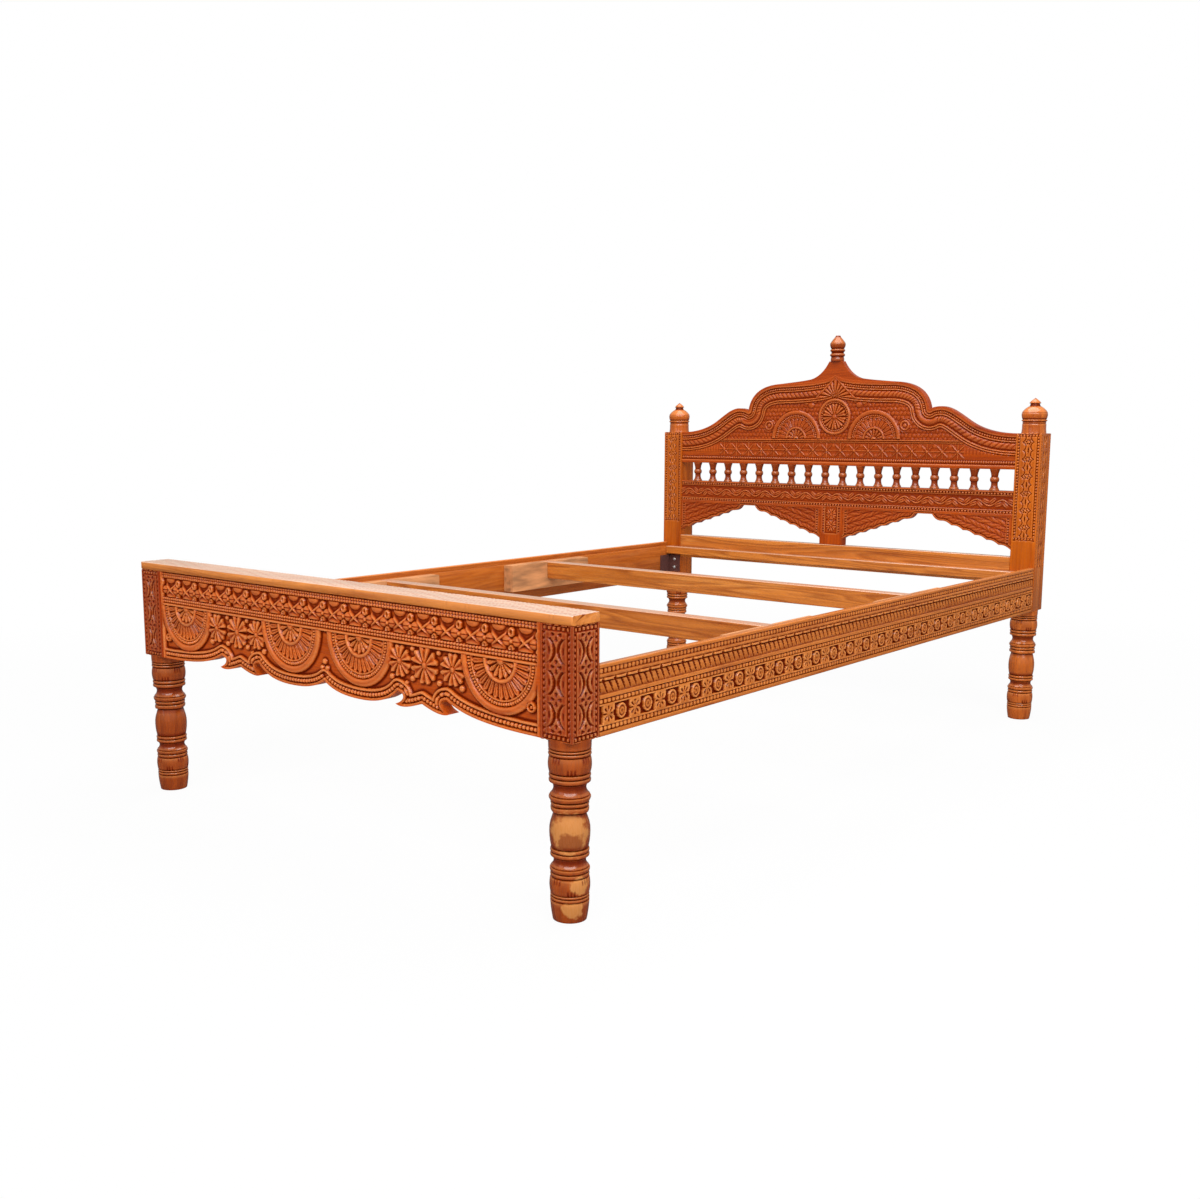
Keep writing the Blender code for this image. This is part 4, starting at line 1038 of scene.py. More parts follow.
def nearest(line, u, v):
    """Distance from each place to a line of points, and how far along the line the nearest point lies."""
    best = np.full(u.shape, np.inf)
    along = np.zeros(u.shape)
    run = np.diff(line, axis=0)
    length = np.hypot(run[:, 0], run[:, 1])
    past = np.cumsum(length) - length
    for (su, sv), (ru, rv), far, before in zip(line, run, length, past):
        t = np.clip(((u - su) * ru + (v - sv) * rv) / far ** 2, 0, 1)
        gap = (u - su - t * ru) ** 2 + (v - sv - t * rv) ** 2
        closer = gap < best
        best[closer] = gap[closer]
        along[closer] = before + t[closer] * far
    return np.sqrt(best), along


def inside(outline, u, v):
    """Whether each place of a grid lies in a closed outline: its row crosses it an odd number of times."""
    held = np.zeros((len(u), len(v)), bool)
    for (su, sv), (eu, ev) in zip(outline, np.roll(outline, -1, 0)):
        if sv != ev:
            crossing = su + (v - sv) * (eu - su) / (ev - sv)
            held ^= ((sv > v) != (ev > v))[None] & (u[:, None] < crossing[None])
    return held


def in_order(rim):
    """Corners of one closed rim in order: each pass doubles the stride, until all reach the last."""
    rim = rim[np.argsort(rim[:, 0])]
    start = rim[:, 0]
    following = np.searchsorted(start, rim[:, 1])
    last = np.flatnonzero(following == 0)
    following[last] = last
    ahead = np.ones(len(start), int)
    ahead[last] = 0
    for _ in range(len(start).bit_length()):
        ahead = ahead + ahead[following]
        following = following[following]
    if len(np.unique(ahead)) != len(start):
        raise RuntimeError("a sawn board has more than one rim")
    return start[np.argsort(-ahead)]


# Meshes
def fill_mesh(name, points, quads, closing, shades):
    """Mesh from points, four-cornered faces and larger closing faces; shades become its carving attribute."""
    mesh = bpy.data.meshes.new(name)
    corners = np.concatenate([quads.ravel(), *closing])
    sizes = np.concatenate([np.full(len(quads), 4), [len(face) for face in closing]]).astype(int)
    mesh.vertices.add(len(points))
    mesh.vertices.foreach_set("co", points.astype(np.float32).ravel())
    mesh.loops.add(len(corners))
    mesh.loops.foreach_set("vertex_index", corners.astype(np.int32))
    mesh.polygons.add(len(sizes))
    mesh.polygons.foreach_set("loop_start", (np.cumsum(sizes) - sizes).astype(np.int32))
    mesh.update(calc_edges=True)
    if mesh.validate():
        raise RuntimeError(name + " has a face that does not close")
    held = mesh.attributes.new("carving", "FLOAT", "POINT")
    held.data.foreach_set("value", shades.astype(np.float32).ravel())
    mesh.shade_smooth()
    mesh.set_sharp_from_angle(angle=SHARP_ANGLE)
    return mesh


def skin(rows, first=0):
    """Numbers of the points of rows that each go once round, counted from first, and faces between."""
    ids = np.arange(rows.shape[0] * rows.shape[1]).reshape(rows.shape[:2]) + first
    after = np.roll(ids, -1, 1)
    return ids, np.stack([ids[:-1], after[:-1], after[1:], ids[1:]], 2).reshape(-1, 4)


def tube(name, points, shades=None):
    """Skin over rows of points that each go once round, with a flat face at both ends."""
    ids, quads = skin(points)
    if shades is None:
        shades = np.full(ids.shape, 0.5)
    return fill_mesh(name, points.reshape(-1, 3), quads, [ids[0][::-1], ids[-1]], shades)


def sawn_board(name, outline, face, back, cell, relief, deep, by_depth, strength=1.0):
    """Board sawn to an outline in X and Z, with a carved front.

    Cells of an even grid whose middles lie in the outline make the front. Corners on its rim are drawn to the
    nearest point of the outline, and each corner lies behind the face by what the relief leaves out. The rim
    runs straight back as the walls, and one face closes the back.
    """
    low, high = outline.min(0), outline.max(0)
    counts = np.ceil((high - low) / cell).astype(int)
    us = np.linspace(low[0], high[0], counts[0] + 1)
    vs = np.linspace(low[1], high[1], counts[1] + 1)
    filled = inside(outline, (us[1:] + us[:-1]) / 2, (vs[1:] + vs[:-1]) / 2)
    # Two cells that touch at a corner alone get a third beside them
    a, b, c, d = filled[:-1, :-1], filled[1:, :-1], filled[:-1, 1:], filled[1:, 1:]
    filled[:-1, :-1] |= b & c & ~d
    filled[1:, :-1] |= a & d & ~b & ~c
    column, row = np.nonzero(filled)
    stride = counts[1] + 1
    first = column * stride + row
    quads = np.stack([first, first + stride, first + stride + 1, first + 1], 1)
    used, quads = np.unique(quads, return_inverse=True)
    quads = quads.reshape(-1, 4)
    edges = np.stack([quads, np.roll(quads, -1, 1)], 2).reshape(-1, 2)
    ahead = edges[:, 0] * len(used) + edges[:, 1]
    behind = edges[:, 1] * len(used) + edges[:, 0]
    rim = in_order(edges[~np.isin(ahead, behind)])
    u, v = us[used // stride], vs[used % stride]
    closed = np.concatenate([outline, outline[:1]])
    along = nearest(closed, u[rim], v[rim])[1]
    passed = np.concatenate([[0], np.cumsum(np.hypot(*np.diff(closed, axis=0).T))])
    u[rim], v[rim] = np.interp(along, passed, closed[:, 0]), np.interp(along, passed, closed[:, 1])
    height = relief(*np.meshgrid(us, vs, indexing="ij"))
    # Tone that the finish turns into painted shade in the cuts and a painted highlight on the crowns
    shade = tone(height, deep, (us[1] - us[0], vs[1] - vs[0]), by_depth).ravel()[used]
    shade = 0.5 + strength * (shade - 0.5)
    height = height.ravel()[used]
    height[rim] = np.minimum(height[rim], 1 - ARRIS / deep / 2)
    front = np.stack([u, face + deep * (1 - height), v], 1)
    rear = np.stack([u[rim], np.full(len(rim), back), v[rim]], 1)
    ids = len(front) + np.arange(len(rim))
    walls = np.stack([np.roll(rim, -1), rim, ids, np.roll(ids, -1)], 1)
    shades = np.concatenate([shade, np.full(len(rim), 0.5)])
    return fill_mesh(name, np.concatenate([front, rear]), np.concatenate([quads, walls]), [ids[::-1]], shades)


def turned_rows(members, tall, radius, steps, groove=0.0, ring_deeper=0.0):
    """Radius and height above the foot at each ring of a turned piece, from the foot up.

    Within a member the radius runs straight from its upper to its lower value, plus a swell that is a
    parabola. A short member is a ring, whose swell is half-round and starts from deeper. A narrow groove
    parts each member from the next.
    """
    members = np.array(members)
    ring = (members[:, 0] < RING_SHARE * members[:, 0].sum()) & (members[:, 3] > 0)
    members[:, 1:3] -= ring[:, None] * ring_deeper
    members[:, 3] += ring * ring_deeper
    ends = np.cumsum(members[:, 0])
    edge = np.minimum(TURN_EDGE * ends[-1] / tall / members[:, 0:1], 0.2)
    t = np.linspace(0, 1, steps - 1)[None] * (1 - 2 * edge) + edge
    t = np.concatenate([np.zeros_like(edge), t, np.ones_like(edge)], 1)
    swell = np.where(ring[:, None], dome(2 * t - 1), 1 - (2 * t - 1) ** 2)
    share = members[:, 1:2] * (1 - t) + members[:, 2:3] * t + members[:, 3:4] * swell
    share[1:, 0] -= groove / radius
    share[:-1, -1] -= groove / radius
    depth = (ends - members[:, 0])[:, None] + members[:, 0:1] * t
    level = tall * (1 - depth / ends[-1])
    return np.maximum(share, 0.012).ravel()[::-1] * radius, level.ravel()[::-1]


def turned_tone(radii, levels):
    """Tone along a turned piece: how far each ring stands out from the mean radius nearby.

    It is less where the surface faces down and more where it faces up. In the finish this becomes painted
    shade in the grooves and under the rings, and a painted highlight on the crowns and on faces that look up.
    """
    even = np.arange(levels[0], levels[-1], TURN_CELL)
    radius = np.interp(even, levels, radii)
    rise = radius - soften(radius[:, None], (round(TURN_REACH / TURN_CELL), 0))[:, 0]
    lean = soften(np.gradient(radius, TURN_CELL)[:, None], (1, 0))[:, 0]
    shade = np.clip(0.5 + rise / TURN_RANGE, 0, TURN_HIGHLIGHT_LIMIT) - np.clip(TURN_SLOPE_SHADING * lean, -TURN_SLOPE_SHADING, TURN_SLOPE_SHADING)
    return np.interp(levels, even, np.clip(shade, 0, 1))


def turned_points(radii, levels, centre, sides, shave=None):
    """Rings of points round an upright line through centre; shave takes a depth off by angle and level."""
    angle = np.linspace(0, math.tau, sides, endpoint=False)[None]
    radius = radii[:, None] - (0 if shave is None else shave(angle, levels[:, None]))
    radius = np.broadcast_to(radius, (len(radii), sides))
    height = np.broadcast_to(levels[:, None], radius.shape)
    return np.stack([radius * np.cos(angle), radius * np.sin(angle), height], 2) + np.array(centre)


def from_corner(angle):
    """Angle from the nearest of the four lines to the corners of a post."""
    return np.mod(angle + math.pi / 4 + math.pi / 4, math.pi / 2) - math.pi / 4


def leg_ticks(angle, level):
    """Groups of three ticks at the ends of two barrels: narrow valleys in angle, over a short length."""
    taken = np.zeros(np.broadcast(angle, level).shape)
    for foot, top in LEG_TICKS:
        for end, turn in ((foot, 0.0), (top, math.pi / 4)):
            place = from_corner(angle - turn)
            ticks = sum(dome((place - step * 0.17) / 0.055) for step in (-1, 0, 1))
            taken += ticks * dome((level - end) / 0.0125) * (level > foot + 0.0012) * (level < top - 0.0012)
    return taken


def leg_shave(angle, level):
    """Depth of the ticks, and of four shallow scoops at the top of the long barrel, parabolas both ways."""
    around = np.clip(1 - (from_corner(angle) / 0.62) ** 2, 0, 1)
    scoop = around * np.clip(1 - ((level - LEG_SCOOP[0]) / LEG_SCOOP[1]) ** 2, 0, 1)
    return TICK_DEEP * leg_ticks(angle, level) + SCOOP_DEEP * scoop


def square_ring(half, many):
    """Points round a square post, by the number of the side and the place along it; two sides are carved."""
    counts = (many, many, POST_PLAIN_POINTS, POST_PLAIN_POINTS)
    flat = half - ARRIS
    return np.repeat(range(4), counts), np.concatenate([np.linspace(-flat, flat, count) for count in counts])


def post_block(half, levels, reliefs, many, hand, strengths, deep):
    """Square length of a post: rings of points round it, each side set in by what its relief leaves out.

    The front and the outer side carry the given reliefs, each with the strength of its tone. A left post is
    mirrored from a right one whose reliefs run the other way.
    """
    number, along = square_ring(half, many)
    level = levels[:, None]
    height = np.ones((len(levels), len(number)))
    shade = np.full(height.shape, 0.5)
    steps = (np.median(np.diff(levels)), 2 * half / many)
    for side, (relief, strength) in enumerate(zip(reliefs, strengths)):
        mine = number == side
        u = np.broadcast_to(hand * along[mine][None], (len(levels), many))
        height[:, mine] = relief(u, np.broadcast_to(level, u.shape))
        # Tone of this side: painted shade in its cuts and a painted highlight on its crowns
        shade[:, mine] = 0.5 + strength * (tone(height[:, mine], deep, steps, POST_BY_DEPTH) - 0.5)
    out = half - deep * (1 - height)
    out[[0, -1]] -= ARRIS
    along = np.broadcast_to(along[None], out.shape).copy()
    along[[0, -1]] *= 1 - ARRIS / half
    angle = np.array(POST_FACES)[number]
    x = hand * (np.cos(angle) * out - np.sin(angle) * along)
    y = np.sin(angle) * out + np.cos(angle) * along
    return np.stack([x, y, np.broadcast_to(level, x.shape)], 2)[:, ::hand], shade[:, ::hand]


def rows_between(low, high, cell):
    """Even levels from low to high, no further apart than the cell, with an arris row at both ends."""
    inner = np.linspace(low + ARRIS, high - ARRIS, int((high - low) / cell) + 2)
    return np.concatenate([[low], inner, [high]])


def join(name, pieces):
    """One mesh from closed skins; the first takes the first finish, the others and all ends the second."""
    points, quads, closing, shades = [], [], [], []
    total = 0
    for rows, shade in pieces:
        ids, faces = skin(rows, total)
        quads.append(faces)
        closing += [ids[0][::-1], ids[-1]]
        points.append(rows.reshape(-1, 3))
        shades.append(np.broadcast_to(shade, ids.shape).ravel())
        total += ids.size
    mesh = fill_mesh(name, np.concatenate(points), np.concatenate(quads), closing, np.concatenate(shades))
    of_first = np.arange(len(mesh.polygons)) < len(quads[0])
    mesh.polygons.foreach_set("material_index", np.where(of_first, 0, 1).astype(np.int32))
    return mesh


def keep(name, mesh, finish, node):
    """Piece that stands for one node of the frame and rides on the body frame."""
    piece = bpy.data.objects.new(name, mesh)
    bpy.context.scene.collection.objects.link(piece)
    mesh.materials.append(finish)
    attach(piece, "frame")
    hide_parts(node)
    return piece


def dress(thing, finish):
    """Give a node of the frame one finish."""
    thing.data.materials.clear()
    thing.data.materials.append(finish)


# Finishes
class Tree:
    """Node tree of a new material, with short calls to add nodes and links."""

    def __init__(self, name):
        self.material = bpy.data.materials.new(name)
        self.material.use_nodes = True
        self.nodes = self.material.node_tree.nodes
        self.shader = self.nodes["Principled BSDF"]

    def feed(self, node, sockets):
        """Link or set inputs of a node, each by its name or number."""
        for name, value in sockets.items():
            if isinstance(value, bpy.types.NodeSocket):
                self.material.node_tree.links.new(value, node.inputs[name])
            else:
                node.inputs[name].default_value = value

    def add(self, kind, sockets=None, **settings):
        """New node with the given settings and inputs."""
        node = self.nodes.new("ShaderNode" + kind)
        for name, value in settings.items():
            setattr(node, name, value)
        self.feed(node, sockets or {})
        return node

    def ramp(self, source, stops):
        """Colour or grey between stops, at the place that the source gives."""
        node = self.add("ValToRGB", {"Fac": source})
        while len(node.color_ramp.elements) < len(stops):
            node.color_ramp.elements.new(0.5)
        for element, (place, colour) in zip(node.color_ramp.elements, stops):
            element.position = place
            element.color = (*colour, 1.0) if hasattr(colour, "__len__") else (colour, colour, colour, 1.0)
        return node.outputs["Color"]

    def mix(self, kind, factor, first, second):
        """Two colours mixed by a factor."""
        sockets = {0: factor, 6: first, 7: second}
        return self.add("Mix", sockets, data_type="RGBA", blend_type=kind).outputs[2]

    def blend(self, factor, first, second):
        """Two surfaces mixed by a factor."""
        return self.add("MixShader", {0: factor, 1: first, 2: second}).outputs[0]

    def coords(self, scale=(1, 1, 1)):
        """Place on the object, scaled along each axis."""
        place = self.add("TexCoord").outputs["Object"]
        return self.add("Mapping", {"Vector": place, "Scale": scale}).outputs["Vector"]

    def noise(self, place, scale, detail, roughness=0.5):
        """Noise of the given scale, from 0 to 1."""
        sockets = {"Vector": place, "Scale": scale, "Detail": detail, "Roughness": roughness}
        return self.add("TexNoise", sockets).outputs["Fac"]

    def carving(self):
        """Tone of the carving, as the mesh holds it."""
        return self.add("Attribute", attribute_name="carving").outputs["Fac"]

    def patch(self, middle, half):
        """Share that is high near a place and 0 beyond the half sizes, with a ragged edge."""
        scale = tuple(1 / h for h in half)
        ragged = self.noise(self.coords(), 70.0, 4.0, 0.6)
        ends = {0: self.coords(scale), 1: tuple(m * s for m, s in zip(middle, scale))}
        away = self.add("VectorMath", ends, operation="DISTANCE").outputs["Value"]
        spread = self.add("MapRange", {"Value": ragged, "To Min": -0.55, "To Max": 0.55}).outputs["Result"]
        total = self.add("Math", {0: away, 1: spread}, operation="ADD")
        return self.ramp(total.outputs[0], ((0.62, 0.86), (0.84, 0.0)))


def teak(name, grain, tint, carved=True, top=None, gloss=1.0):
    """Varnished teak: streaks, rings and figure along the grain, pores, painted shade in the cuts and a
    painted highlight on the crowns.

    A plain board instead gets a pale painted reflection of the sky above its level top.
    """
    made = bpy.data.materials.get(name)
    if made:
        return made
    look = bpy.context.scene.bed_finish
    coat = gloss * look.coat
    tree = Tree(name)
    place = tree.coords(STRETCH[grain])
    woods = (look.light, look.middle, look.dark)
    light, middle, dark = (tuple(c * t for c, t in zip(wood, tint)) for wood in woods)
    streaks = ((0.27, dark), (0.44, middle), (0.58, middle), (0.76, light))
    colour = tree.ramp(tree.noise(place, *STREAKS), streaks)
    waves = {"Vector": place, **GROWTH}
    rings = tree.add("TexWave", waves, wave_type="RINGS", rings_direction=grain, wave_profile="SAW")
    fine = tree.coords(tuple(PORE_STRETCH if s < 1 else 1.0 for s in STRETCH[grain]))
    pores = tree.noise(fine, *PORES)
    for source, shades, share in (
        (rings.outputs["Fac"], RING_SHADES, 0.70),
        (tree.noise(place, *DRIFT), DRIFT_SHADES, 0.85),
        (tree.noise(place, *FIGURE), FLAME, 0.55 if carved else 1.0),
        (pores, PORE_SHADES, 0.40),
    ):
        colour = tree.mix("MULTIPLY", share, colour, tree.ramp(source, shades))
    if name == "teak_leg":
        for patch in LEG_SAPWOOD:
            colour = tree.mix("MIX", tree.patch(*patch), colour, (*look.sapwood, 1.0))
        colour = tree.mix("MIX", tree.patch(*LEG_KNOT), colour, (*look.knot, 1.0))
    tree.feed(tree.shader, {"Coat Weight": coat, "Coat Roughness": 0.09})
    if carved:
        carving = tree.carving()
        # Painted shade mixed into the cuts and a painted highlight onto the crowns, by the carving's tone;
        # cuts also lose gloss
        colour = tree.mix("MIX", tree.ramp(carving, SHADE_STOPS), colour, (*look.painted_shade, 1.0))
        colour = tree.mix("MIX", tree.ramp(carving, HIGHLIGHT_STOPS), colour, (*look.painted_highlight, 1.0))
        for socket, shine in (("Coat Weight", coat), ("Specular IOR Level", 0.15)):
            tree.feed(tree.shader, {socket: tree.ramp(carving, ((0.10, 0.02), (0.46, shine)))})
    # Pale painted reflection of the sky over the level top of a plain board
    if top is not None:
        height = tree.add("SeparateXYZ", {0: tree.coords()}).outputs["Z"]
        ends = {"From Min": top - SKY_SHEEN_BAND, "From Max": top - SKY_SHEEN_BAND / 2, "To Max": 0.6}
        above = tree.add("MapRange", {"Value": height, **ends}).outputs["Result"]
        colour = tree.mix("MIX", above, colour, (*look.pale, 1.0))
    bump = tree.add("Bump", {"Strength": 0.18, "Distance": 0.0004, "Height": pores}).outputs["Normal"]
    rough = tree.ramp(pores, PORE_ROUGHNESS)
    tree.feed(tree.shader, {"Base Color": colour, "Roughness": rough, "Normal": bump})
    return tree.material


def sheen_teak(name):
    """Top of the cap: teak painted pale as a reflection of the sky, with darker stipple, from the carving
    attribute.
    """
    look = bpy.context.scene.bed_finish
    tree = Tree(name)
    pale = tuple(look.pale)
    drift = tree.noise(tree.coords(STRETCH["X"]), 46.0, 5.0)
    colour = tree.ramp(drift, ((0.30, tuple(c * 0.80 for c in pale)), (0.60, pale)))
    # The stipple pits are darker
    colour = tree.mix("MIX", tree.ramp(tree.carving(), STIPPLE_DARKER), colour, (*look.dark, 1.0))
    shine = {"Roughness": 0.38, "Coat Weight": look.coat, "Coat Roughness": 0.2}
    tree.feed(tree.shader, {"Base Color": colour, **shine})
    return tree.material


def raw_wood(name):
    """Sawn wood without varnish: pale, with saw marks across the grain and rough pores."""
    raw = tuple(bpy.context.scene.bed_finish.raw)
    dim, bright = (tuple(min(c * share, 1.0) for c in raw) for share in (0.62, 1.35))
    tree = Tree(name)
    noise = tree.noise(tree.coords((1.0, 0.16, 1.0)), 60.0, 6.0)
    colour = tree.ramp(noise, ((0.30, dim), (0.50, raw), (0.72, bright)))
    waves = {"Vector": tree.coords(), "Scale": 95.0, "Distortion": 3.0}
    saw = tree.add("TexWave", waves, wave_type="BANDS", bands_direction="Y").outputs["Fac"]
    bump = tree.add("Bump", {"Strength": 0.35, "Distance": 0.0008, "Height": saw}).outputs["Normal"]
    tree.feed(tree.shader, {"Base Color": colour, "Roughness": 0.82, "Normal": bump})
    return tree.material


def steel(name, colour, roughness, mottle, metallic):
    """Steel whose colour and roughness vary a little in fine mottles."""
    tree = Tree(name)
    noise = tree.noise(tree.coords(), 180.0, 4.0)
    base = tuple(colour)
    tint = tree.ramp(noise, ((0.3, tuple(c * (1 - mottle) for c in base)), (0.7, base)))
    rough = tree.ramp(noise, ((0.3, roughness), (0.7, roughness * 1.3)))
    tree.feed(tree.shader, {"Base Color": tint, "Roughness": rough, "Metallic": metallic})
    return tree.material


# Operators
class BED_OT_foot_panel(Operator):
    """Carve the foot panel: lattice frieze over fans and flowers, sawn to a lobed edge."""
    bl_idname = "bed.foot_panel"
    bl_label = "Foot panel"

    def execute(self, context):
        size = context.scene.bed_carving
        edge = panel_edge()
        outline = np.concatenate([edge, [(BOARD_END, PANEL_HIGH.z), (-BOARD_END, PANEL_HIGH.z)]])

        def relief(u, v):
            rim, along = nearest(edge, u, v)
            return panel_relief(u, v, rim, along)

        cell = np.array((LATTICE_PITCH / 40, size.cell * 0.94))
        mesh = sawn_board("carved_foot_panel", outline, PANEL_LOW.y, PANEL_HIGH.y, cell, relief,
                          size.panel_deep, PANEL_BY_DEPTH)
        keep("carved_foot_panel", mesh, teak("teak_panel", "X", PANEL_TINT), "foot_panel")
        return {"FINISHED"}


class BED_OT_foot_cap(Operator):
    """Make the cap board over the foot: plain edges, the upper ones with a painted highlight, and a stippled
    top painted pale as a reflection of the sky.
    """
    bl_idname = "bed.foot_cap"
    bl_label = "Foot cap"

    def execute(self, context):
        low, high = CAP_LOW, CAP_HIGH
        top = np.linspace(high.y - ARRIS, low.y + ARRIS, CAP_ROWS)
        y = np.concatenate([[low.y, low.y], top[::-1], [high.y, high.y, high.y - ARRIS, low.y + ARRIS]])
        upper, lower = high.z - ARRIS, low.z + ARRIS
        z = np.concatenate([[lower, upper], np.full(CAP_ROWS, high.z), [upper, lower, low.z, low.z]])
        x = np.concatenate([[low.x], np.linspace(low.x + ARRIS, high.x - ARRIS, CAP_STEPS), [high.x]])
        across, along = np.broadcast_arrays(x[:, None], y[None])
        pits = np.where((z == high.z)[None], stipple(across, along), 0)
        # Painted highlight along the upper edges, stronger toward the right end; the stipple pits take a
        # darker tone
        painted_highlight = CAP_HIGHLIGHT[0] + (CAP_HIGHLIGHT[1] - CAP_HIGHLIGHT[0]) * (across - low.x) / (high.x - low.x)
        shade = np.where(np.isclose(z, upper)[None], painted_highlight, 0.5 - 0.5 * pits)
        points = np.stack([across, along, z[None] - STIPPLE_DEEP * pits], 2)
        middle = np.array(((low.y + high.y) / 2, (low.z + high.z) / 2))
        ends = points[[0, -1], :, 1:]
        points[[0, -1], :, 1:] = middle + (ends - middle) * (1 - 2 * ARRIS / (high.y - low.y))
        mesh = tube("stippled_cap", points[:, ::-1], shade[:, ::-1])
        keep("stippled_cap", mesh, teak("teak_cap", "X", CAP_TINT), "foot_cap")
        # Faces that look up take the pale teak: a painted reflection of the sky
        mesh.materials.append(sheen_teak("teak_pale_top"))
        normals = np.zeros(len(mesh.polygons) * 3, np.float32)
        mesh.polygons.foreach_get("normal", normals)
        mesh.polygons.foreach_set("material_index", (normals.reshape(-1, 3)[:, 2] > 0.5).astype(np.int32))
        mesh.update()
        return {"FINISHED"}


class BED_OT_posts(Operator):
    """Carve and turn the four posts: square block, turned leg and, at the head, a turned finial."""
    bl_idname = "bed.posts"
    bl_label = "Posts"

    def execute(self, context):
        size, turn = context.scene.bed_carving, context.scene.bed_turning
        for hand, side in HANDS.items():
            for end in ("foot", "head"):
                self.post(end, hand, side, size, turn)
        return {"FINISHED"}

    def post(self, end, hand, side, size, turn):
        """Make one post: block, leg and, at the head, finial, each a closed skin that laps into the next."""
        node = "%s_post_%s" % (end, hand)
        low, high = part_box(node)
        half = (high.x - low.x) / 2
        centre = np.array(((low.x + high.x) / 2, (low.y + high.y) / 2, 0.0))
        if end == "foot":
            top = high.z
            reliefs = [partial(post_relief, low=LEG_HIGH, high=top)] * 2
            levels = rows_between(LEG_HIGH, top, size.cell)
        else:
            top = CREST_LOW.z + CREST_AT_POST
            reliefs = [partial(head_front_relief, low=HEAD_CARVED_FROM, high=top),
                       partial(head_side_relief, low=RAIL_HIGH.z, high=top)]
            plain = [LEG_HIGH, LEG_HIGH + ARRIS, RAIL_HIGH.z]
            levels = np.concatenate([plain, rows_between(RAIL_HIGH.z, top, size.cell)[1:]])
        many = int(2 * half / size.cell)
        block, shade = post_block(half, levels, reliefs, many, side, POST_STRENGTHS[end], size.post_deep)
        pieces = [(block + centre, shade)]
        radii, levels = turned_rows(LEG_MEMBERS, LEG_HIGH, half, turn.steps, LEG_GROOVE, RING_DEEPER)
        levels = np.concatenate([levels, [LEG_HIGH + 2 * ARRIS]])
        radii = np.concatenate([radii, radii[-1:]])
        rows = turned_points(radii, levels, centre, turn.sides * 2, leg_shave)
        angle = np.linspace(0, math.tau, turn.sides * 2, endpoint=False)[None]
        # Painted shade in the ticks
        shade = turned_tone(radii, levels)[:, None] - TICK_SHADE * leg_ticks(angle, levels[:, None])
        pieces.append((rows, np.clip(shade, 0, 1)))
        if end == "head":
            radii, levels = turned_rows(HEAD_FINIAL_MEMBERS, high.z - top, half, turn.steps, FINIAL_GROOVE)
            levels = np.concatenate([[-2 * ARRIS], levels]) + top
            radii = np.concatenate([radii[:1], radii])
            rows = turned_points(radii, levels, centre, turn.sides)
            pieces.append((rows, turned_tone(radii, levels)[:, None]))
        name = "carved_" + node
        piece = keep(name, join(name, pieces), teak(*BLOCKS[end]), node)
        piece.data.materials.append(teak(*TURNED[end], gloss=TURNED_GLOSS))


class BED_OT_side_rails(Operator):
    """Carve the two side rails: beads, bars, flutes and ovals outside, a rebate for the deck inside."""
    bl_idname = "bed.side_rails"
    bl_label = "Side rails"

    def execute(self, context):
        size = context.scene.bed_carving
        low, high = RAIL_LOW, RAIL_HIGH
        ledge, level = self.rebate()
        fine = np.linspace(high.z - ARRIS, low.z + ARRIS, RAIL_ROWS)
        along = np.linspace(low.y, high.y, RAIL_STEPS)
        u, z = np.meshgrid(along - low.y, fine, indexing="ij")
        height = rail_relief(u, z)
        height[[0, -1]] = np.minimum(height[[0, -1]], 0.8)
        face = np.stack([high.x - size.rail_deep * (1 - height), u + low.y, z], 2)
        inner = np.array([
            (high.x - ARRIS, low.z), (low.x + ARRIS, low.z), (low.x, low.z + ARRIS), (low.x, level - ARRIS),
            (low.x + ARRIS, level), (ledge, level), (ledge, high.z - ARRIS), (ledge + ARRIS, high.z),
            (high.x - ARRIS, high.z),
        ])
        rest = np.stack(np.broadcast_arrays(inner[None, :, 0], along[:, None], inner[None, :, 1]), 2)
        points = np.concatenate([face, rest], 1)
        # The face's tone gives painted shade in the cuts and a painted highlight on the crowns; the inner
        # faces take a darker tone and the top a painted highlight
        shade = tone(height, size.rail_deep, (along[1] - along[0], fine[0] - fine[1]), RAIL_BY_DEPTH)
        inside_tone = np.where(inner[:, 1] == high.z, RAIL_TOP_HIGHLIGHT, INNER_TONE)
        shades = np.concatenate([shade, np.broadcast_to(inside_tone, rest.shape[:2])], 1)
        finish = teak("teak_rail", "Y", RAIL_TINT)
        for hand, side in HANDS.items():
            name = "carved_side_rail_" + hand
            mesh = tube(name, (points * (side, 1, 1))[:, ::side], shades[:, ::side])
            keep(name, mesh, finish, "side_rail_" + hand)
        return {"FINISHED"}

    def rebate(self):
        """Inner corner of the deck rebate, at the level that the frame's record gives for its mount."""
        mounts = {mount["name"]: mount["pos_m"] for mount in frame["record"]["mounts"]}
        return RAIL_LOW.x + REBATE_WIDE, mounts["deck_rebate_right"][2]


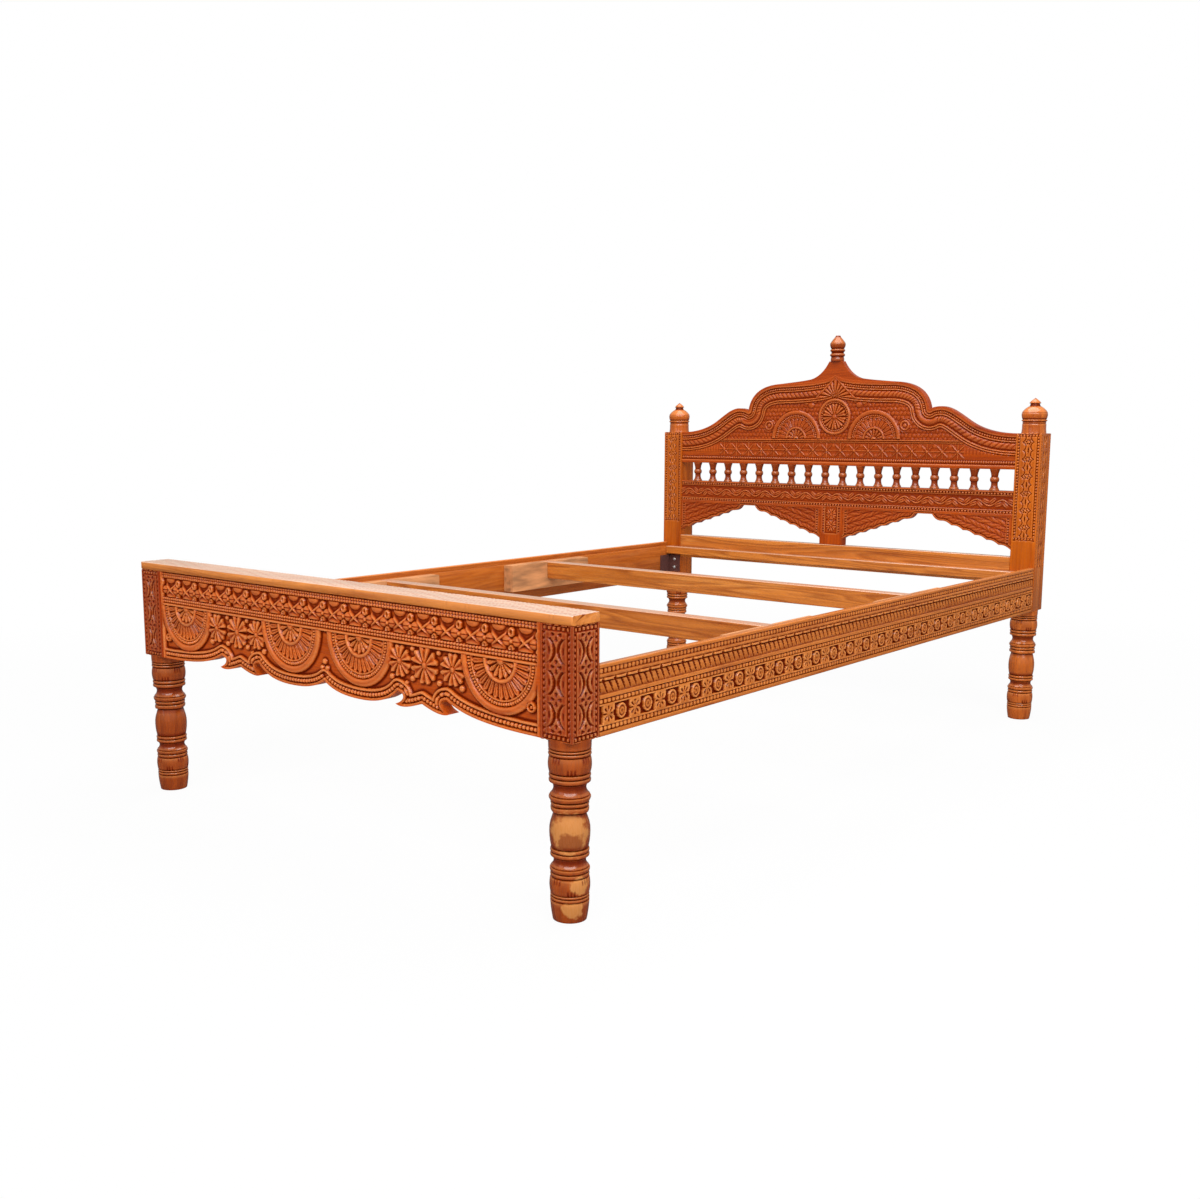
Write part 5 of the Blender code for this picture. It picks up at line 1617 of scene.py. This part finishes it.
class BED_OT_crest(Operator):
    """Carve the crest: rope and fillets along an ogee outline over a rosette, fans and a band of stars."""
    bl_idname = "bed.crest"
    bl_label = "Crest"

    def execute(self, context):
        size = context.scene.bed_carving
        edge = crest_edge()
        outline = np.concatenate([edge, [(BOARD_END, CREST_LOW.z), (-BOARD_END, CREST_LOW.z)]])
        moulding = crest_moulding()
        reach = BOARD_END * CREST_WAYS[1][0]
        middle = moulding[np.abs(moulding[:, 0]) <= reach]

        def relief(u, v):
            rim, along = nearest(moulding, u, v)
            plain = (np.abs(u) < reach) & (v > np.interp(u, middle[:, 0], middle[:, 1]))
            return crest_relief(u, v, np.where(plain, 0.0, rim), along)

        mesh = sawn_board("carved_crest", outline, CREST_LOW.y, CREST_HIGH.y, size.cell * 1.05, relief,
                          size.crest_deep, CREST_BY_DEPTH, CREST_STRENGTH)
        keep("carved_crest", mesh, teak("teak_head", "X", HEAD_TINT), "crest_panel")
        return {"FINISHED"}


class BED_OT_mid_boards(Operator):
    """Carve the mid rail, the centre stile and the two scalloped arches under the gallery."""
    bl_idname = "bed.mid_boards"
    bl_label = "Mid rail, stile and arches"

    def execute(self, context):
        finish, upright = teak("teak_head", "X", HEAD_TINT), teak("teak_stile", "Z", HEAD_TINT)
        for name, node, relief, wood in (
            ("carved_mid_rail", "mid_rail", mid_relief, finish),
            ("carved_stile", "centre_stile", stile_relief, upright),
        ):
            low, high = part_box(node)
            outline = np.array([(low.x, low.z), (high.x, low.z), (high.x, high.z), (low.x, high.z)])
            self.board(context, name, node, outline, relief, wood)
        edge = arch_edge()
        outline = np.concatenate([edge, [(ARCH_HIGH.x, ARCH_HIGH.z), (ARCH_LOW.x, ARCH_HIGH.z)]])

        def relief(u, v):
            return arch_relief(u, v, *nearest(edge, np.abs(u), v))

        for hand, side in HANDS.items():
            name, node = "carved_arch_" + hand, "arch_panel_" + hand
            self.board(context, name, node, outline * (side, 1), relief, finish)
        return {"FINISHED"}

    def board(self, context, name, node, outline, relief, wood):
        """Carve one board of the headboard between the front and the back of its node."""
        size = context.scene.bed_carving
        low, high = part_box(node)
        mesh = sawn_board(name, outline, low.y, high.y, size.cell, relief, size.head_deep, HEAD_BY_DEPTH)
        keep(name, mesh, wood, node)


class BED_OT_turnings(Operator):
    """Turn the balusters of the gallery and the finial on the crest."""
    bl_idname = "bed.turnings"
    bl_label = "Balusters and crest finial"

    def execute(self, context):
        turn = context.scene.bed_turning
        for node in sorted(name for name in frame["nodes"] if name.startswith("baluster_")):
            self.turn(node, BALUSTER_MEMBERS, BALUSTER_WIDER, turn.small_sides, turn.steps)
        self.turn("crest_finial", CREST_FINIAL_MEMBERS, 1.0, turn.sides, turn.steps)
        return {"FINISHED"}

    def turn(self, node, members, wider, sides, steps):
        """Turn one piece as tall as its node, and wider than it by a factor."""
        low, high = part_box(node)
        radius = wider * (high.x - low.x) / 2
        radii, levels = turned_rows(members, high.z - low.z, radius, steps, SMALL_GROOVE)
        radii *= radius / radii.max()
        centre = ((low.x + high.x) / 2, (low.y + high.y) / 2, low.z)
        rows = turned_points(radii, levels, centre, sides)
        shades = np.broadcast_to(turned_tone(radii, levels)[:, None], rows.shape[:2])
        name = "turned_" + node
        keep(name, tube(name, rows, shades), teak(*TURNED["foot"], gloss=TURNED_GLOSS), node)


class BED_OT_hardware(Operator):
    """Finish the steel brackets and turn their domed bolts."""
    bl_idname = "bed.hardware"
    bl_label = "Brackets and bolts"

    def execute(self, context):
        look, turn = context.scene.bed_finish, context.scene.bed_turning
        dark = steel("dark_steel_coated", look.dark_steel, roughness=0.42, mottle=0.35, metallic=0.3)
        bright = steel("bright_steel_plated", look.bright_steel, roughness=0.30, mottle=0.12, metallic=0.8)
        for node, thing in frame["nodes"].items():
            if node.startswith("bracket_"):
                dress(thing, dark)
            elif node.startswith("bolt_"):
                self.bolt(node, bright, turn)
        return {"FINISHED"}

    def bolt(self, node, finish, turn):
        """Turn one bolt's domed head and lay it over, so that the dome faces into the bed."""
        low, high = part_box(node)
        inward = 1 if "foot" in node else -1
        radius = (high.x - low.x) / 2
        radii, levels = turned_rows(BOLT_MEMBERS, BOLT_TALL, radius, turn.steps)
        rows = turned_points(radii, levels, (0, 0, 0), turn.small_sides)
        head = high.y if inward > 0 else low.y
        way = Matrix.Rotation(-inward * math.pi / 2, 3, "X")
        rows = rows @ np.array(way).T
        rows += np.array(((low.x + high.x) / 2, head - inward * BOLT_TALL, (low.z + high.z) / 2))
        name = "domed_" + node
        keep(name, tube(name, rows), finish, node)


class BED_OT_plain_boards(Operator):
    """Finish the plain boards: lower rail, ledgers and bearers in teak, and the raw blocks."""
    bl_idname = "bed.plain_boards"
    bl_label = "Plain boards"

    def execute(self, context):
        # A teak for each level top of the plain boards, with a pale painted reflection of the sky on that top
        plain = {top: teak("teak_plain_%d" % number, "X", PLAIN_TINT, False, top)
                 for number, top in enumerate(sorted({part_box(node)[1].z for node in self.boards()}))}
        raw = raw_wood("raw_sawn_wood")
        for node, thing in frame["nodes"].items():
            if node.startswith("block_"):
                dress(thing, raw)
        for node in self.boards():
            dress(frame["nodes"][node], plain[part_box(node)[1].z])
        return {"FINISHED"}

    def boards(self):
        """Names of the plain teak boards."""
        return [node for node in frame["nodes"]
                if node.startswith("bearer_") or node.endswith("_ledger") or node == "lower_head_rail"]


class BED_OT_stage(Operator):
    """Set up the floor, the soft lamps, the sky and the camera."""
    bl_idname = "bed.stage"
    bl_label = "Stage"

    def execute(self, context):
        stage = context.scene.bed_stage
        self.floor(stage)
        self.sky(context.scene, stage)
        for name, (place, aim, size) in LAMPS.items():
            self.lamp(name, place, aim, size, getattr(stage, name))
        self.camera(context.scene)
        context.scene.view_settings.view_transform = "Standard"
        return {"FINISHED"}

    def floor(self, stage):
        """Square floor under the bed: lit plainly, and seen as near white."""
        mesh = bpy.data.meshes.new("floor")
        corners = np.array([(-1, -1), (1, -1), (1, 1), (-1, 1)]) * FLOOR_HALF
        mesh.from_pydata([(x, y, 0.0) for x, y in corners], [], [(0, 1, 2, 3)])
        plane = bpy.data.objects.new("floor", mesh)
        bpy.context.scene.collection.objects.link(plane)
        tree = Tree("studio_floor")
        dull = {"Roughness": 0.9, "Specular IOR Level": 0.0}
        tree.feed(tree.shader, {"Base Color": (*stage.floor, 1.0), **dull})
        white = tree.add("Emission").outputs[0]
        dim = tree.add("Emission", {"Strength": stage.mirrored}).outputs[0]
        path = tree.add("LightPath").outputs
        away = tree.add("VectorMath", {0: tree.coords()}, operation="LENGTH").outputs["Value"]
        ends = {"From Min": FLOOR_FADE[0], "From Max": FLOOR_FADE[1], "To Min": 0.94}
        fade = tree.add("MapRange", {"Value": away, **ends}).outputs["Result"]
        lit = tree.shader.outputs[0]
        seen = tree.blend(fade, lit, white)
        seen = tree.blend(path["Is Camera Ray"], lit, seen)
        seen = tree.blend(path["Is Glossy Ray"], seen, dim)
        tree.feed(tree.nodes["Material Output"], {"Surface": seen})
        mesh.materials.append(tree.material)

    def sky(self, scene, stage):
        """Even sky: white to the camera, dimmer in reflections and as light."""
        scene.world = bpy.data.worlds.new("studio_sky")
        scene.world.use_nodes = True
        tree = scene.world.node_tree
        path = tree.nodes.new("ShaderNodeLightPath")
        lit = tree.nodes["Background"]
        lit.inputs["Color"].default_value = (1.0, 1.0, 1.0, 1.0)
        lit.inputs["Strength"].default_value = stage.sky
        for ray, strength in (("Is Glossy Ray", stage.glint), ("Is Camera Ray", 1.0)):
            other, blend = tree.nodes.new("ShaderNodeBackground"), tree.nodes.new("ShaderNodeMixShader")
            other.inputs["Color"].default_value = (1.0, 1.0, 1.0, 1.0)
            other.inputs["Strength"].default_value = strength
            tree.links.new(path.outputs[ray], blend.inputs[0])
            tree.links.new(lit.outputs[0], blend.inputs[1])
            tree.links.new(other.outputs[0], blend.inputs[2])
            lit = blend
        tree.links.new(lit.outputs[0], tree.nodes["World Output"].inputs["Surface"])

    def lamp(self, name, place, aim, size, power):
        """Soft rectangular lamp at a place, aimed at another."""
        data = bpy.data.lights.new(name, "AREA")
        data.shape = "RECTANGLE"
        data.size, data.size_y = size
        data.energy = power
        lamp = bpy.data.objects.new(name, data)
        bpy.context.scene.collection.objects.link(lamp)
        lamp.location = place
        lamp.rotation_euler = (Vector(aim) - Vector(place)).to_track_quat("-Z", "Y").to_euler()

    def camera(self, scene):
        """Camera at the fitted place, with the fitted lens and shift."""
        data = bpy.data.cameras.new("camera")
        camera = bpy.data.objects.new("camera", data)
        scene.collection.objects.link(camera)
        ahead = Vector(CAMERA_AHEAD).normalized()
        right = ahead.cross(Vector((0, 0, 1))).normalized()
        up = right.cross(ahead)
        turn = Matrix((right, up, -ahead)).transposed().to_4x4()
        turn.translation = Vector(CAMERA_PLACE)
        camera.matrix_world = turn
        data.sensor_fit = "HORIZONTAL"
        data.sensor_width = SENSOR
        data.lens = CAMERA_LENS
        data.shift_x, data.shift_y = CAMERA_SHIFT
        scene.camera = camera


class BED_PT_panel(Panel):
    """Sizes, colours and makers of the bed's pieces."""
    bl_idname = "BED_PT_panel"
    bl_label = "Carved teak bed"
    bl_space_type = "VIEW_3D"
    bl_region_type = "UI"
    bl_category = "Bed"

    def draw(self, context):
        for group in GROUPS:
            settings = getattr(context.scene, group)
            for name in settings.__annotations__:
                self.layout.prop(settings, name)
        for maker in MAKERS:
            self.layout.operator(maker.bl_idname)


GROUPS = {
    "bed_carving": BedCarving, "bed_turning": BedTurning, "bed_finish": BedFinish, "bed_stage": BedStage,
}
MAKERS = (
    BED_OT_foot_panel, BED_OT_foot_cap, BED_OT_posts, BED_OT_side_rails, BED_OT_crest, BED_OT_mid_boards,
    BED_OT_turnings, BED_OT_hardware, BED_OT_plain_boards, BED_OT_stage,
)


def register():
    for made in (*GROUPS.values(), *MAKERS, BED_PT_panel):
        bpy.utils.register_class(made)
    for name, group in GROUPS.items():
        setattr(bpy.types.Scene, name, PointerProperty(type=group))


def unregister():
    for name in GROUPS:
        delattr(bpy.types.Scene, name)
    for made in reversed((*GROUPS.values(), *MAKERS, BED_PT_panel)):
        bpy.utils.unregister_class(made)


def main():
    register()
    for maker in MAKERS:
        getattr(bpy.ops.bed, maker.bl_idname.split(".")[1])()


if __name__ == "__main__":
    main()
